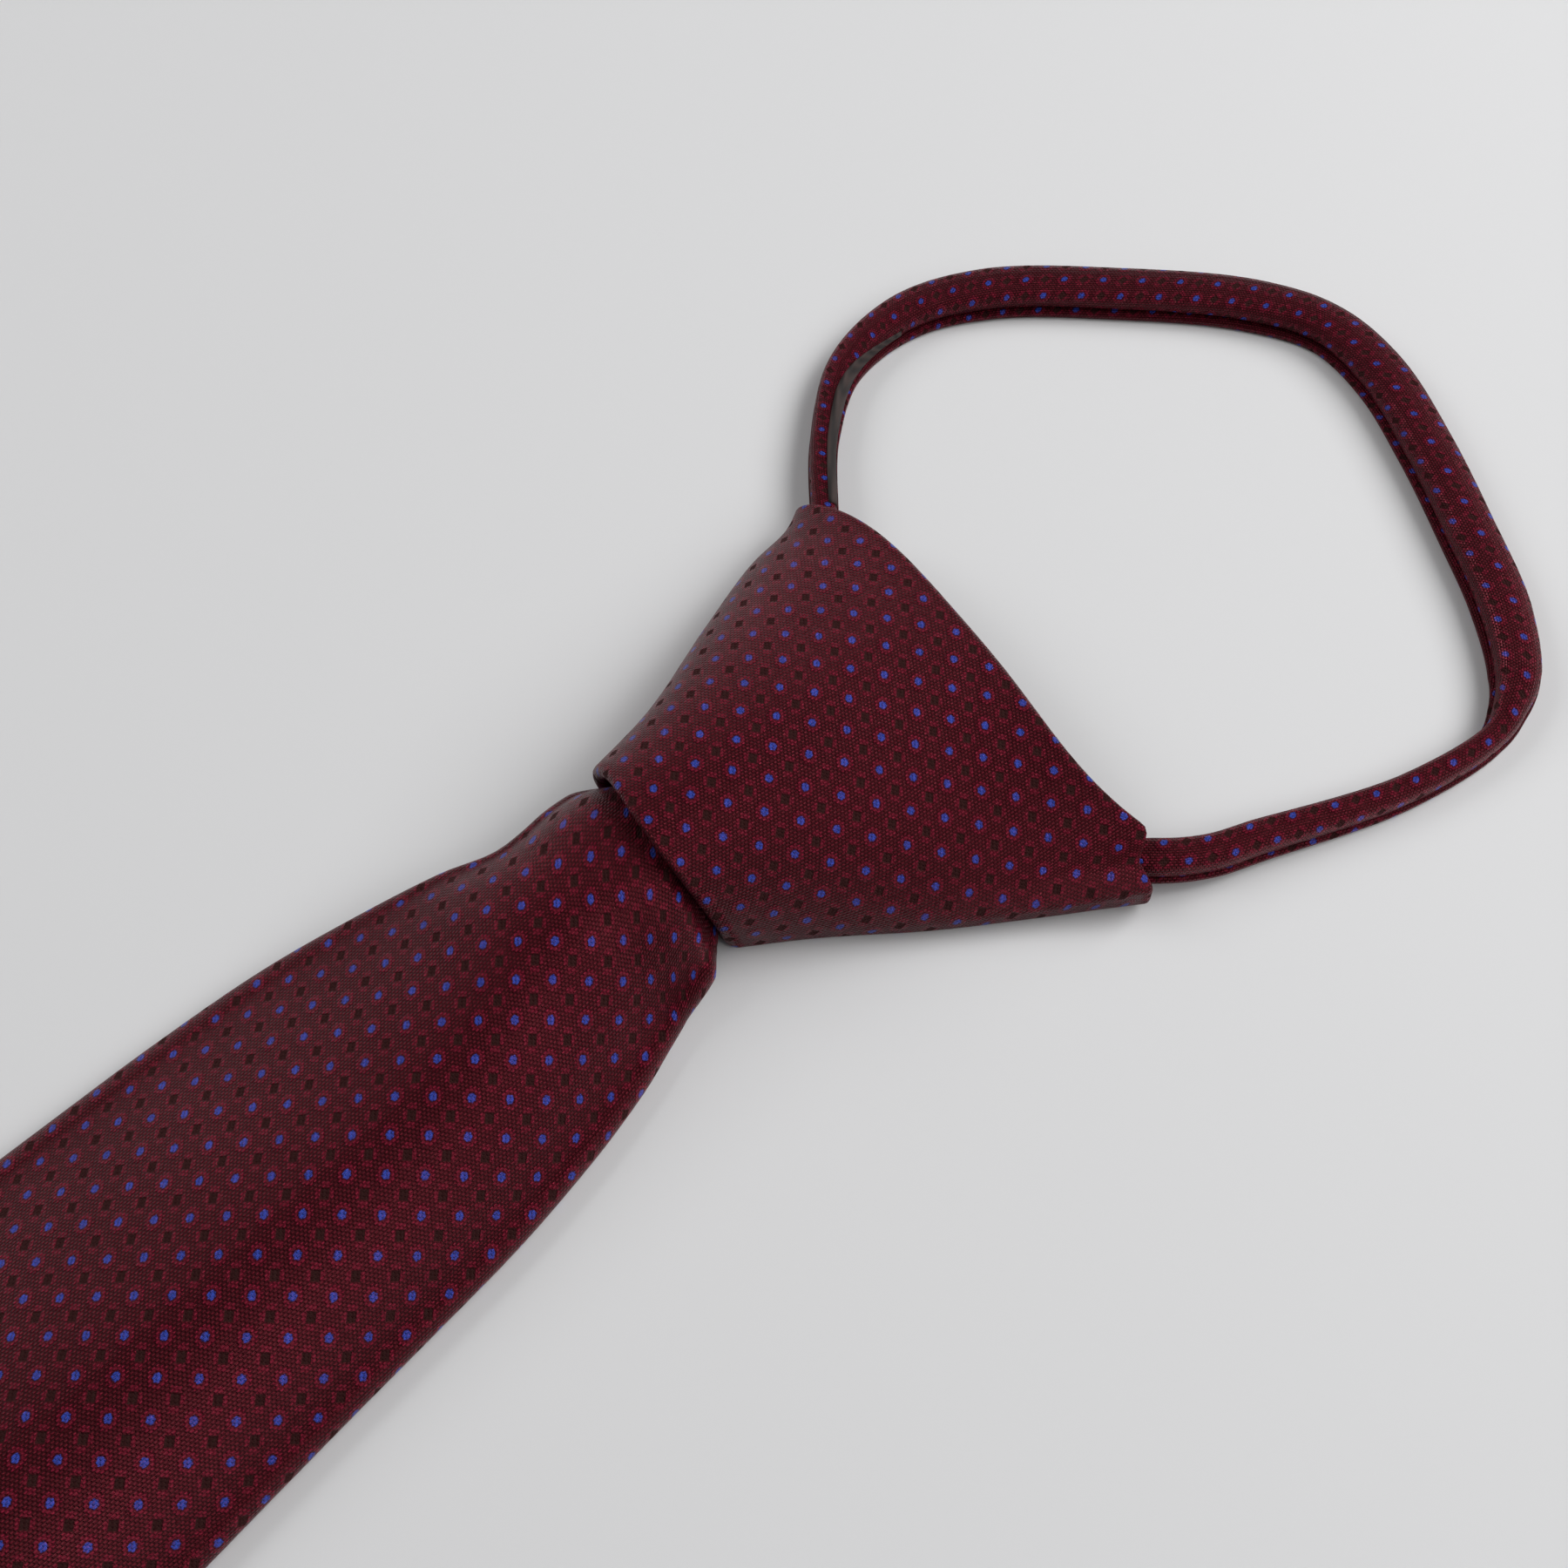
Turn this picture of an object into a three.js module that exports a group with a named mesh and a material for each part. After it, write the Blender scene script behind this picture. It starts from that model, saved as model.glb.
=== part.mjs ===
// Zipper tie lying flat: a pre-tied knot, a blade below it, a neck band and a closed zip.
// Millimetres, +Z up, +Y from the blade's point to the neck band.
// The shapes are laid out from the middle of the knot's lower mouth, and the finished
// group is moved so that its origin is the middle of its box, on the table.

import * as THREE from 'three';

// Cloth and clearances
const clothWall = 1.6;
const fitGap = 0.3;

// Blade, the long front of the tie
const bladeLength = 440;
const bladeWidth = 82;
const bladeThickness = 3.2;
const bladeArch = 6.2;
const bladeCrown = 1.2;
const bladeTuck = 14;
const tipAngle = 90;
const tipBlunt = 1.2;
const edgeRoll = 0.09;
const leastRoll = 0.3;
const shoulderPower = 3;

// Knot, a hollow sleeve of wrapped cloth, turned a little from the blade
const knotLength = 41.5;
const knotWidth = 61;
const knotDepth = 17.8;
const knotTurn = THREE.MathUtils.degToRad(11.1);
const turnLength = 12;
const mouthBow = 0.8;
const mouthLean = 2.4;
const collarCut = 5;
const collarFlap = 5;
const cornerPower = 4;
const flapRise = 0.5;
const baseFullness = 10;

// Neck band, a flattened tube with a groove along both edges
const loopWidth = 82.5;
const loopLength = 64.4;
const bandWidth = 6.2;
const bandThickness = 3.9;
const grooveDepth = 0.8;

// Closed zip, which hangs from the knot behind the blade
const zipLength = 180;
const zipWidth = 14;
const zipNeckWidth = 9;
const zipThickness = 3.4;
const zipTop = 18;
const sliderLength = 11;
const sliderWidth = 8;
const sliderThickness = 6;
const pullLength = 22;
const pullWidth = 8;
const pullThickness = 2;

// Counts of faces
const bladeRowStep = 14;
const bladeColumns = 22;
const knotRows = 12;
const knotColumns = 48;
const bandSteps = 84;

// What lies inside the knot stands on the knot's lower wall
const insideLift = clothWall + fitGap;

// Blade's outline. along: share of bladeLength below the knot. left, right: shares of half
// of bladeWidth.
const bladeOutline = [
  { along: -0.032, left: 0.2, right: 0.2 },
  { along: 0.003, left: 0.205, right: 0.215 },
  { along: 0.008, left: 0.27, right: 0.3 },
  { along: 0.016, left: 0.278, right: 0.338 },
  { along: 0.024, left: 0.285, right: 0.354 },
  { along: 0.038, left: 0.36, right: 0.398 },
  { along: 0.058, left: 0.435, right: 0.44 },
  { along: 0.085, left: 0.527, right: 0.473 },
  { along: 0.111, left: 0.566, right: 0.486 },
  { along: 0.137, left: 0.586, right: 0.498 },
  { along: 0.23, left: 0.645, right: 0.554 },
  { along: 0.34, left: 0.705, right: 0.628 },
  { along: 0.47, left: 0.77, right: 0.71 },
  { along: 0.56, left: 0.818, right: 0.77 },
  { along: 0.72, left: 0.903, right: 0.875 },
  { along: 0.91, left: 1, right: 1 },
  { along: 1, left: 1, right: 1 },
];

// Blade's height. arch: share of bladeArch. overZip: how far the cloth clears the zip.
// lift: share of insideLift. shoulder: height of the left edge, a share of bladeArch.
const bladeRelief = [
  { along: -0.032, arch: 0.78, overZip: 1, lift: 1, shoulder: 0 },
  { along: 0.003, arch: 0.82, overZip: 1, lift: 1, shoulder: 0 },
  { along: 0.008, arch: 0.88, overZip: 1, lift: 0.9, shoulder: 0.5 },
  { along: 0.016, arch: 0.96, overZip: 1, lift: 0.4, shoulder: 0.9 },
  { along: 0.024, arch: 0.98, overZip: 1, lift: 0.1, shoulder: 0.9 },
  { along: 0.038, arch: 0.92, overZip: 1, lift: 0, shoulder: 0.7 },
  { along: 0.058, arch: 0.68, overZip: 1, lift: 0, shoulder: 0.5 },
  { along: 0.085, arch: 0.53, overZip: 1, lift: 0, shoulder: 0.1 },
  { along: 0.111, arch: 0.47, overZip: 1, lift: 0, shoulder: 0 },
  { along: 0.137, arch: 0.45, overZip: 1, lift: 0, shoulder: 0 },
  { along: 0.23, arch: 0.38, overZip: 1, lift: 0, shoulder: 0 },
  { along: 0.34, arch: 0.26, overZip: 1, lift: 0, shoulder: 0 },
  { along: 0.47, arch: 0.16, overZip: 1, lift: 0, shoulder: 0 },
  { along: 0.56, arch: 0, overZip: 0, lift: 0, shoulder: 0 },
  { along: 1, arch: 0, overZip: 0, lift: 0, shoulder: 0 },
];

// Blade's flanks. ridge: place of the ridge, a share of half of bladeWidth. fallLeft,
// fallRight: how sharply each flank falls away from the ridge.
const bladeFlanks = [
  { along: -0.032, ridge: 0, fallLeft: 3.4, fallRight: 2.8 },
  { along: 0.003, ridge: 0, fallLeft: 3.6, fallRight: 2.8 },
  { along: 0.008, ridge: 0, fallLeft: 3.5, fallRight: 2.6 },
  { along: 0.024, ridge: 0, fallLeft: 3, fallRight: 2.1 },
  { along: 0.038, ridge: 0.01, fallLeft: 2.6, fallRight: 2 },
  { along: 0.058, ridge: 0.06, fallLeft: 2, fallRight: 2.1 },
  { along: 0.085, ridge: 0.09, fallLeft: 1.5, fallRight: 2.2 },
  { along: 0.111, ridge: 0.09, fallLeft: 1.4, fallRight: 2.3 },
  { along: 0.137, ridge: 0.09, fallLeft: 1.4, fallRight: 2.3 },
  { along: 0.23, ridge: 0.06, fallLeft: 1.6, fallRight: 2.2 },
  { along: 0.34, ridge: 0.03, fallLeft: 1.9, fallRight: 2.1 },
  { along: 0.47, ridge: 0, fallLeft: 2, fallRight: 2 },
  { along: 1, ridge: 0, fallLeft: 2, fallRight: 2 },
];

// Knot's outline. along: share of knotLength from the lower mouth to the collar mouth.
// left, right: shares of half of knotWidth. depth: share of knotDepth. crown: place of the
// highest line, a share of knotWidth.
const knotOutline = [
  { along: 0, left: 0.36, right: 0.36, depth: 1, crown: 0 },
  { along: 0.2, left: 0.46, right: 0.49, depth: 0.95, crown: -0.02 },
  { along: 0.48, left: 0.675, right: 0.69, depth: 0.86, crown: -0.05 },
  { along: 0.74, left: 0.865, right: 0.86, depth: 0.75, crown: -0.09 },
  { along: 1, left: 0.97, right: 1.03, depth: 0.62, crown: -0.12 },
];

// Knot's rolled sides. rollLeft, rollRight: height of each side's outermost line, a share
// of knotDepth. fullLeft, fullRight: how full the shoulder above it is.
const knotRolls = [
  { along: 0, rollLeft: 0.36, rollRight: 0.16, fullLeft: 2.6, fullRight: 2 },
  { along: 0.2, rollLeft: 0.32, rollRight: 0.13, fullLeft: 2.6, fullRight: 1.7 },
  { along: 0.48, rollLeft: 0.27, rollRight: 0.13, fullLeft: 2.1, fullRight: 1.55 },
  { along: 0.74, rollLeft: 0.24, rollRight: 0.15, fullLeft: 1.9, fullRight: 1.5 },
  { along: 1, rollLeft: 0.24, rollRight: 0.24, fullLeft: 2.2, fullRight: 1.8 },
];

// Neck band's middle line, from inside the knot round the neck and back. across: share of
// loopWidth from the knot's axis. along: share of loopLength beyond the collar mouth.
// wide: share of bandWidth. thick: share of bandThickness. lift: share of insideLift.
const bandRoute = [
  { across: -0.036, along: -0.345, wide: 0.54, thick: 0.6, lift: 1 },
  { across: -0.12, along: -0.25, wide: 0.54, thick: 0.6, lift: 1 },
  { across: -0.22, along: -0.12, wide: 0.54, thick: 0.6, lift: 1 },
  { across: -0.308, along: -0.03, wide: 0.54, thick: 0.65, lift: 1 },
  { across: -0.442, along: 0.068, wide: 0.56, thick: 0.85, lift: 0.4 },
  { across: -0.542, along: 0.19, wide: 0.64, thick: 1, lift: 0 },
  { across: -0.57, along: 0.349, wide: 0.84, thick: 1, lift: 0 },
  { across: -0.534, along: 0.509, wide: 0.94, thick: 1, lift: 0 },
  { across: -0.422, along: 0.712, wide: 0.94, thick: 1, lift: 0 },
  { across: -0.292, along: 0.892, wide: 0.97, thick: 1, lift: 0 },
  { across: -0.195, along: 0.965, wide: 0.96, thick: 1, lift: 0 },
  { across: -0.088, along: 0.98, wide: 1, thick: 1, lift: 0 },
  { across: 0.049, along: 0.942, wide: 1, thick: 1, lift: 0 },
  { across: 0.185, along: 0.888, wide: 1, thick: 1, lift: 0 },
  { across: 0.301, along: 0.827, wide: 0.98, thick: 1, lift: 0 },
  { across: 0.384, along: 0.755, wide: 0.88, thick: 1, lift: 0 },
  { across: 0.436, along: 0.646, wide: 0.74, thick: 1, lift: 0 },
  { across: 0.436, along: 0.46, wide: 0.64, thick: 1, lift: 0 },
  { across: 0.388, along: 0.205, wide: 0.6, thick: 0.85, lift: 0.3 },
  { across: 0.338, along: 0.03, wide: 0.54, thick: 0.65, lift: 1 },
  { across: 0.235, along: -0.12, wide: 0.54, thick: 0.6, lift: 1 },
  { across: 0.12, along: -0.25, wide: 0.54, thick: 0.6, lift: 1 },
  { across: 0.036, along: -0.345, wide: 0.54, thick: 0.6, lift: 1 },
];

// Band section round its middle, as shares of its width and thickness, with a groove in
// each edge between the thick upper fold and the thin lower one
const bandSection = [
  { across: -0.34, up: 0.00 },
  { across: 0.34, up: 0.00 },
  { across: 0.47, up: 0.10 },
  { across: 0.48, up: 0.26 },
  { across: 0.50, up: 0.36, groove: -1 },
  { across: 0.50, up: 0.46 },
  { across: 0.48, up: 0.72 },
  { across: 0.36, up: 0.93 },
  { across: 0.14, up: 1.00 },
  { across: -0.14, up: 1.00 },
  { across: -0.36, up: 0.93 },
  { across: -0.48, up: 0.72 },
  { across: -0.50, up: 0.46 },
  { across: -0.50, up: 0.36, groove: 1 },
  { across: -0.48, up: 0.26 },
  { across: -0.47, up: 0.10 },
];

const burgundyCloth = new THREE.MeshStandardMaterial({ color: 0x5e1622, roughness: 0.7 });
const zipTape = new THREE.MeshStandardMaterial({ color: 0x3b1d20, roughness: 0.6 });

// Slope at each row of one column: none at a peak or a dip, so no curve passes its rows
function rowSlopes(places, values) {
  const steps = places.slice(1).map(
    (place, i) => (values[i + 1] - values[i]) / (place - places[i]),
  );
  const inner = steps.slice(1).map((step, i) => {
    const before = steps[i];
    return before * step > 0 ? (2 * before * step) / (before + step) : 0;
  });
  return [steps[0], ...inner, steps[steps.length - 1]];
}

// A smooth curve through the rows of a table, one value for each column
function tableCurve(rows) {
  const places = rows.map((row) => row.along);
  const columns = Object.keys(rows[0]).map((name) => {
    const values = rows.map((row) => row[name]);
    return { name, values, slopes: rowSlopes(places, values) };
  });
  return (along) => {
    const found = places.findIndex((place) => place >= along);
    const next = THREE.MathUtils.clamp(found, 1, places.length - 1);
    const span = places[next] - places[next - 1];
    const t = (along - places[next - 1]) / span;
    const blend = t * t * (3 - 2 * t);
    return Object.fromEntries(columns.map(({ name, values, slopes }) => {
      const level = THREE.MathUtils.lerp(values[next - 1], values[next], blend);
      const lean = t * (1 - t) * ((1 - t) * slopes[next - 1] - t * slopes[next]) * span;
      return [name, level + lean];
    }));
  };
}

// A point of the tie's own run: s along it from the knot's lower mouth, x across, z up.
// Above the mouth the run follows the knot, below it the blade.
function runPoint(s, x, z) {
  const turn = knotTurn * THREE.MathUtils.smoothstep(s, -turnLength, 0);
  const inside = Math.max(s, 0);
  const middleX = inside * Math.sin(knotTurn);
  const middleY = inside * Math.cos(knotTurn) + Math.min(s, 0);
  return new THREE.Vector3(middleX + x * Math.cos(turn), middleY - x * Math.sin(turn), z);
}

// Closed solid from a list of vertices and faces of three or four corners
function solid(points, faces) {
  const geometry = new THREE.BufferGeometry().setFromPoints(points);
  const triangles = faces.flatMap(
    ([a, b, c, d]) => (d === undefined ? [a, b, c] : [a, b, c, a, c, d]),
  );
  geometry.setIndex(triangles);
  geometry.computeVertexNormals();
  return geometry;
}

// Solid between an upper and a lower sheet of points, both rows by columns
function sheetSolid(upper, lower) {
  const rows = upper.length;
  const columns = upper[0].length;
  const side = columns - 1;
  const points = [...upper.flat(), ...lower.flat()];
  const top = (r, c) => r * columns + c;
  const under = (r, c) => (rows + r) * columns + c;
  const faces = [];
  for (let r = 0; r < rows - 1; r += 1) {
    for (let c = 0; c < columns - 1; c += 1) {
      faces.push([top(r, c), top(r + 1, c), top(r + 1, c + 1), top(r, c + 1)]);
      faces.push([under(r, c), under(r, c + 1), under(r + 1, c + 1), under(r + 1, c)]);
    }
    faces.push([top(r, 0), under(r, 0), under(r + 1, 0), top(r + 1, 0)]);
    faces.push([top(r, side), top(r + 1, side), under(r + 1, side), under(r, side)]);
  }
  for (let c = 0; c < columns - 1; c += 1) {
    faces.push([top(0, c), top(0, c + 1), under(0, c + 1), under(0, c)]);
    faces.push([top(rows - 1, c), under(rows - 1, c), under(rows - 1, c + 1), top(rows - 1, c + 1)]);
  }
  return solid(points, faces);
}

// Open tube between an outer and an inner skin, both rows of closed rings
function sleeveSolid(outer, inner) {
  const rows = outer.length;
  const last = rows - 1;
  const columns = outer[0].length;
  const points = [...outer.flat(), ...inner.flat()];
  const out = (r, c) => r * columns + (c % columns);
  const within = (r, c) => (rows + r) * columns + (c % columns);
  const faces = [];
  for (let c = 0; c < columns; c += 1) {
    for (let r = 0; r < last; r += 1) {
      faces.push([out(r, c), out(r + 1, c), out(r + 1, c + 1), out(r, c + 1)]);
      faces.push([within(r, c), within(r, c + 1), within(r + 1, c + 1), within(r + 1, c)]);
    }
    faces.push([out(0, c), out(0, c + 1), within(0, c + 1), within(0, c)]);
    faces.push([out(last, c), within(last, c), within(last, c + 1), out(last, c + 1)]);
  }
  return solid(points, faces);
}

// Rod of closed rings with a flat end at each side
function rodSolid(rings) {
  const columns = rings[0].length;
  const last = rings.length - 1;
  const points = rings.flat();
  const ring = (r, c) => r * columns + (c % columns);
  const middleOf = (ringPoints) => ringPoints
    .reduce((sum, point) => sum.add(point), new THREE.Vector3())
    .divideScalar(columns);
  const startMiddle = points.push(middleOf(rings[0])) - 1;
  const endMiddle = points.push(middleOf(rings[last])) - 1;
  const faces = [];
  for (let c = 0; c < columns; c += 1) {
    for (let r = 0; r < last; r += 1) {
      faces.push([ring(r, c), ring(r, c + 1), ring(r + 1, c + 1), ring(r + 1, c)]);
    }
    faces.push([startMiddle, ring(0, c + 1), ring(0, c)]);
    faces.push([endMiddle, ring(last, c), ring(last, c + 1)]);
  }
  return solid(points, faces);
}

// The blade: cloth folded flat, arched over the zip near the knot and pointed at its end
function bladeGeometry() {
  const outline = tableCurve(bladeOutline);
  const relief = tableCurve(bladeRelief);
  const flanks = tableCurve(bladeFlanks);
  const halfWidth = bladeWidth / 2;
  const tipSlope = Math.tan(THREE.MathUtils.degToRad(tipAngle / 2));
  const pointStart = bladeLength - (halfWidth - tipBlunt) / tipSlope;
  const runs = bladeOutline.map((row) => row.along * bladeLength);
  const stations = [-bladeTuck];
  for (const [i, run] of runs.slice(0, -1).entries()) {
    const next = runs[i + 1];
    const pieces = Math.ceil((next - run) / bladeRowStep);
    for (let k = 0; k < pieces; k += 1) {
      stations.push(THREE.MathUtils.lerp(run, next, k / pieces));
    }
  }
  stations.push(pointStart, bladeLength);
  const ordered = [...new Set(stations.filter((run) => run >= -bladeTuck))].sort((a, b) => a - b);
  const upper = [];
  const lower = [];
  for (const run of ordered) {
    const along = run / bladeLength;
    const row = { ...outline(along), ...relief(along), ...flanks(along) };
    const pointWidth = tipBlunt + (bladeLength - run) * tipSlope;
    const left = Math.min(row.left * halfWidth, pointWidth);
    const right = Math.min(row.right * halfWidth, pointWidth);
    const ridge = row.ridge * halfWidth;
    const base = row.lift * insideLift;
    const archHeight = row.overZip * (zipThickness + fitGap) + row.arch * bladeArch;
    const crown = bladeCrown * Math.min(1, Math.min(left, right) / halfWidth);
    const topRow = [];
    const lowRow = [];
    for (let c = 0; c <= bladeColumns; c += 1) {
      const x = -left + (left + right) * (1 - Math.cos((Math.PI * c) / bladeColumns)) / 2;
      const side = x < ridge ? left + ridge : right - ridge;
      const fall = x < ridge ? row.fallLeft : row.fallRight;
      const out = Math.min(1, Math.abs(x - ridge) / side);
      const inward = Math.min(1, out / (1 - edgeRoll));
      const intoRoll = Math.max(0, (out - 1) / edgeRoll + 1);
      const roll = Math.max(leastRoll, Math.sqrt(Math.max(0, 1 - intoRoll ** 2)));
      const shoulder = x < ridge ? row.shoulder * bladeArch * inward ** shoulderPower : 0;
      const arch = archHeight * (1 - inward ** fall);
      const padding = crown * (1 - out ** 2);
      const middle = base + shoulder + arch + bladeThickness / 2;
      topRow.push(runPoint(-run, x, middle + (bladeThickness / 2) * roll + padding));
      lowRow.push(runPoint(-run, x, middle - (bladeThickness / 2) * roll));
    }
    upper.push(topRow);
    lower.push(lowRow);
  }
  return sheetSolid(upper, lower);
}

// One ring of the knot: a flat base, two rolled sides and a full top, inset by a wall
function knotRing(row, wall) {
  const half = knotWidth / 2;
  const crown = row.crown * knotWidth;
  const height = row.depth * knotDepth - wall;
  const ring = [];
  for (let c = 0; c < knotColumns; c += 1) {
    const angle = (2 * Math.PI * c) / knotColumns;
    const across = Math.cos(angle);
    const rise = Math.sin(angle);
    const onRight = across >= 0;
    const reach = (onRight ? row.right * half - crown : row.left * half + crown) - wall;
    const roll = (onRight ? row.rollRight : row.rollLeft) * knotDepth;
    const topFullness = onRight ? row.fullRight : row.fullLeft;
    const fullness = rise < 0 ? baseFullness : topFullness;
    const x = crown + Math.sign(across) * reach * Math.abs(across) ** (2 / fullness);
    const span = rise < 0 ? roll - wall : height - roll;
    const z = roll + Math.sign(rise) * span * Math.abs(rise) ** (2 / fullness);
    const bow = mouthBow * (1 - (x / (row.left * half)) ** 2);
    const mouth = (1 - row.along) * (mouthLean * (1 - z / knotDepth) - bow);
    const cut = collarCut * Math.max(0, -x / half) ** cornerPower;
    const raised = THREE.MathUtils.smoothstep(rise, 0, flapRise);
    const flap = collarFlap * raised * Math.max(0, x / half) ** cornerPower;
    const collarEdge = row.along * (knotLength + flap - cut);
    ring.push(new THREE.Vector3(x, collarEdge + mouth, z));
  }
  return ring;
}

function knotGeometry() {
  const outline = tableCurve(knotOutline);
  const rolls = tableCurve(knotRolls);
  const outer = [];
  const inner = [];
  for (let r = 0; r <= knotRows; r += 1) {
    const along = r / knotRows;
    const row = { ...outline(along), ...rolls(along) };
    outer.push(knotRing(row, 0));
    inner.push(knotRing(row, clothWall));
  }
  return sleeveSolid(outer, inner);
}

// The neck band, swept along its route with its grooved section kept upright
function bandGeometry() {
  const route = new THREE.CatmullRomCurve3(bandRoute.map((row) => new THREE.Vector3(
    row.across * loopWidth,
    knotLength + row.along * loopLength,
    row.lift * insideLift,
  )), false, 'centripetal');
  const lastRow = bandRoute.length - 1;
  const up = new THREE.Vector3(0, 0, 1);
  const rings = [];
  for (let k = 0; k <= bandSteps; k += 1) {
    const t = k / bandSteps;
    const at = t * lastRow;
    const before = Math.min(Math.floor(at), lastRow - 1);
    const rowValue = (name) => THREE.MathUtils.lerp(
      bandRoute[before][name],
      bandRoute[before + 1][name],
      at - before,
    );
    const wide = bandWidth * rowValue('wide');
    const thick = bandThickness * rowValue('thick');
    const middle = route.getPoint(t);
    middle.setZ(Math.max(0, middle.z));
    const forward = route.getTangent(t).setZ(0).normalize();
    const sideways = new THREE.Vector3().crossVectors(up, forward);
    rings.push(bandSection.map((corner) => middle.clone()
      .addScaledVector(sideways, corner.across * wide + (corner.groove ?? 0) * grooveDepth)
      .addScaledVector(up, corner.up * thick)));
  }
  return rodSolid(rings);
}

// The closed zip: slider in the knot, both tapes zipped together under the blade, and a pull
function zipGeometry() {
  const sliderEnd = zipTop - sliderLength;
  const steps = [
    { s: zipTop, wide: sliderWidth, thick: sliderThickness, lift: 1 },
    { s: sliderEnd, wide: sliderWidth, thick: sliderThickness, lift: 1 },
    { s: sliderEnd - fitGap, wide: zipNeckWidth, thick: zipThickness, lift: 1 },
    { s: -mouthBow - fitGap, wide: zipNeckWidth, thick: zipThickness, lift: 1 },
    { s: -turnLength, wide: zipWidth, thick: zipThickness, lift: 0 },
    { s: -zipLength, wide: zipWidth, thick: zipThickness, lift: 0 },
    { s: -zipLength - fitGap, wide: pullWidth, thick: pullThickness, lift: 0 },
    { s: -zipLength - pullLength, wide: pullWidth, thick: pullThickness, lift: 0 },
  ];
  const rowOf = (step, z) => [-0.5, 0.5].map((share) => runPoint(step.s, share * step.wide, z));
  const upper = steps.map((step) => rowOf(step, step.lift * insideLift + step.thick));
  const lower = steps.map((step) => rowOf(step, step.lift * insideLift));
  return sheetSolid(upper, lower);
}

function piece(name, geometry, material) {
  const mesh = new THREE.Mesh(geometry, material);
  mesh.name = name;
  return mesh;
}

const collar = new THREE.Group();
collar.rotation.z = -knotTurn;
collar.add(piece('knot_wrap', knotGeometry(), burgundyCloth));
collar.add(piece('neck_band', bandGeometry(), burgundyCloth));

const tie = new THREE.Group();
tie.add(piece('blade', bladeGeometry(), burgundyCloth));
tie.add(piece('zip_closure', zipGeometry(), zipTape));
tie.add(collar);

const box = new THREE.Box3().setFromObject(tie, true);
const middle = box.getCenter(new THREE.Vector3());
tie.position.set(-middle.x, -middle.y, -box.min.z);
tie.updateMatrixWorld(true);

export default tie;
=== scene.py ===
"""Zipper tie lying on a pale surface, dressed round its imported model.

The blade, the knot, the neck band and the zip are each made as cloth or metal pieces in
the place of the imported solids. Sizes are in millimetres and are turned to metres where a
mesh is made. Shapes are laid out from the middle of the knot's lower mouth, as the solids
are: x across the blade, y from its point to the neck, z up.
"""

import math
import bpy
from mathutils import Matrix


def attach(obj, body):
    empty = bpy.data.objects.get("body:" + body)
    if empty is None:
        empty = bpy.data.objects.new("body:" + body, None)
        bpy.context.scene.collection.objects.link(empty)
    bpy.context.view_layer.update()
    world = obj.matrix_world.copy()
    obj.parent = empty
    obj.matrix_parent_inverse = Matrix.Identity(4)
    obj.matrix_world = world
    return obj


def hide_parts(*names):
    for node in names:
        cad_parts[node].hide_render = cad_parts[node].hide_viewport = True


bl_info = {
    "name": "Zipper Tie",
    "version": (1, 0, 0),
    "blender": (4, 5, 0),
    "location": "View3D > Sidebar > Tie",
    "description": "Builds a woven zipper tie with its knot, neck band, blade and zip",
    "category": "Object",
}

import bpy
import numpy as np
from bpy.props import FloatProperty, FloatVectorProperty, IntProperty, PointerProperty
from bpy.types import Operator, Panel, PropertyGroup
from mathutils import Matrix, Vector

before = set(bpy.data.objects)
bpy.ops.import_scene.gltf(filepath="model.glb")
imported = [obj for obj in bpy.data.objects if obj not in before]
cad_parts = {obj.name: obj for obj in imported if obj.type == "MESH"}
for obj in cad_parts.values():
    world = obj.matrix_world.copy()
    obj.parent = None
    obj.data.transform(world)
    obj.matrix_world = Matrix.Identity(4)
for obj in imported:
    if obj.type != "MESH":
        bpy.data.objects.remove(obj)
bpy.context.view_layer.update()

MM = 0.001

# The middle of the knot's lower mouth, the knot's turn from the blade, and how far below
# the mouth the turn fades out
MOUTH = (-6.286, 166.027)
KNOT_TURN = math.radians(11.1)
TURN_LENGTH = 12.0

# Wall of the knot's cloth, and the gap between it and what lies inside
CLOTH_WALL = 1.6
FIT_GAP = 0.3
INSIDE_LIFT = CLOTH_WALL + FIT_GAP

# Blade: sizes, how its edges roll, and how its back laps at the seam
BLADE_LENGTH = 440.0
BLADE_WIDTH = 82.0
BLADE_THICKNESS = 3.2
BLADE_ARCH = 6.2
BLADE_CROWN = 1.2
BLADE_TUCK = 14.0
TIP_BLUNT = 1.2
EDGE_ROLL = 0.09
SHOULDER_POWER = 3
TABLE_CLEAR = 0.02
SEAM_LAP = 0.54
SEAM_RISE = 0.9
SEAM_POWER = 4

# Rows of the blade's cloth, as where each run of them starts and its step, then the rows of
# the point and of the blunt tip, and the columns of half its face and half its back
BLADE_ROWS = ((-BLADE_TUCK, 1.1), (-3, 0.4), (8, 1.1), (130, 4.0))
POINT_ROWS = 26
TIP_ROWS = 6
TIP_FIRST_TURN = 0.3
BLADE_FACE = 36
BACK_COLUMNS = 24
FACE_MIDDLE = BACK_COLUMNS - 1 + BLADE_FACE

# Knot: sizes, the bow, lean and drawn-out left corner of its mouth, and the cut left corner,
# drawn-out right flap and bow of its collar
KNOT_LENGTH = 41.5
KNOT_WIDTH = 61.0
KNOT_DEPTH = 17.8
BASE_FULLNESS = 10
MOUTH_BOW = 0.8
MOUTH_LEAN = 2.4
MOUTH_CORNER = 2.4
COLLAR_CUT = 5.6
COLLAR_FLAP = 5.4
FLAP_RISE = (0.34, 0.50)
CORNER_POWER = 4
COLLAR_BOW = 0.5
COLLAR_BOW_MIDDLE = 0.15
COLLAR_BOW_SPREAD = 0.35

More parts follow.
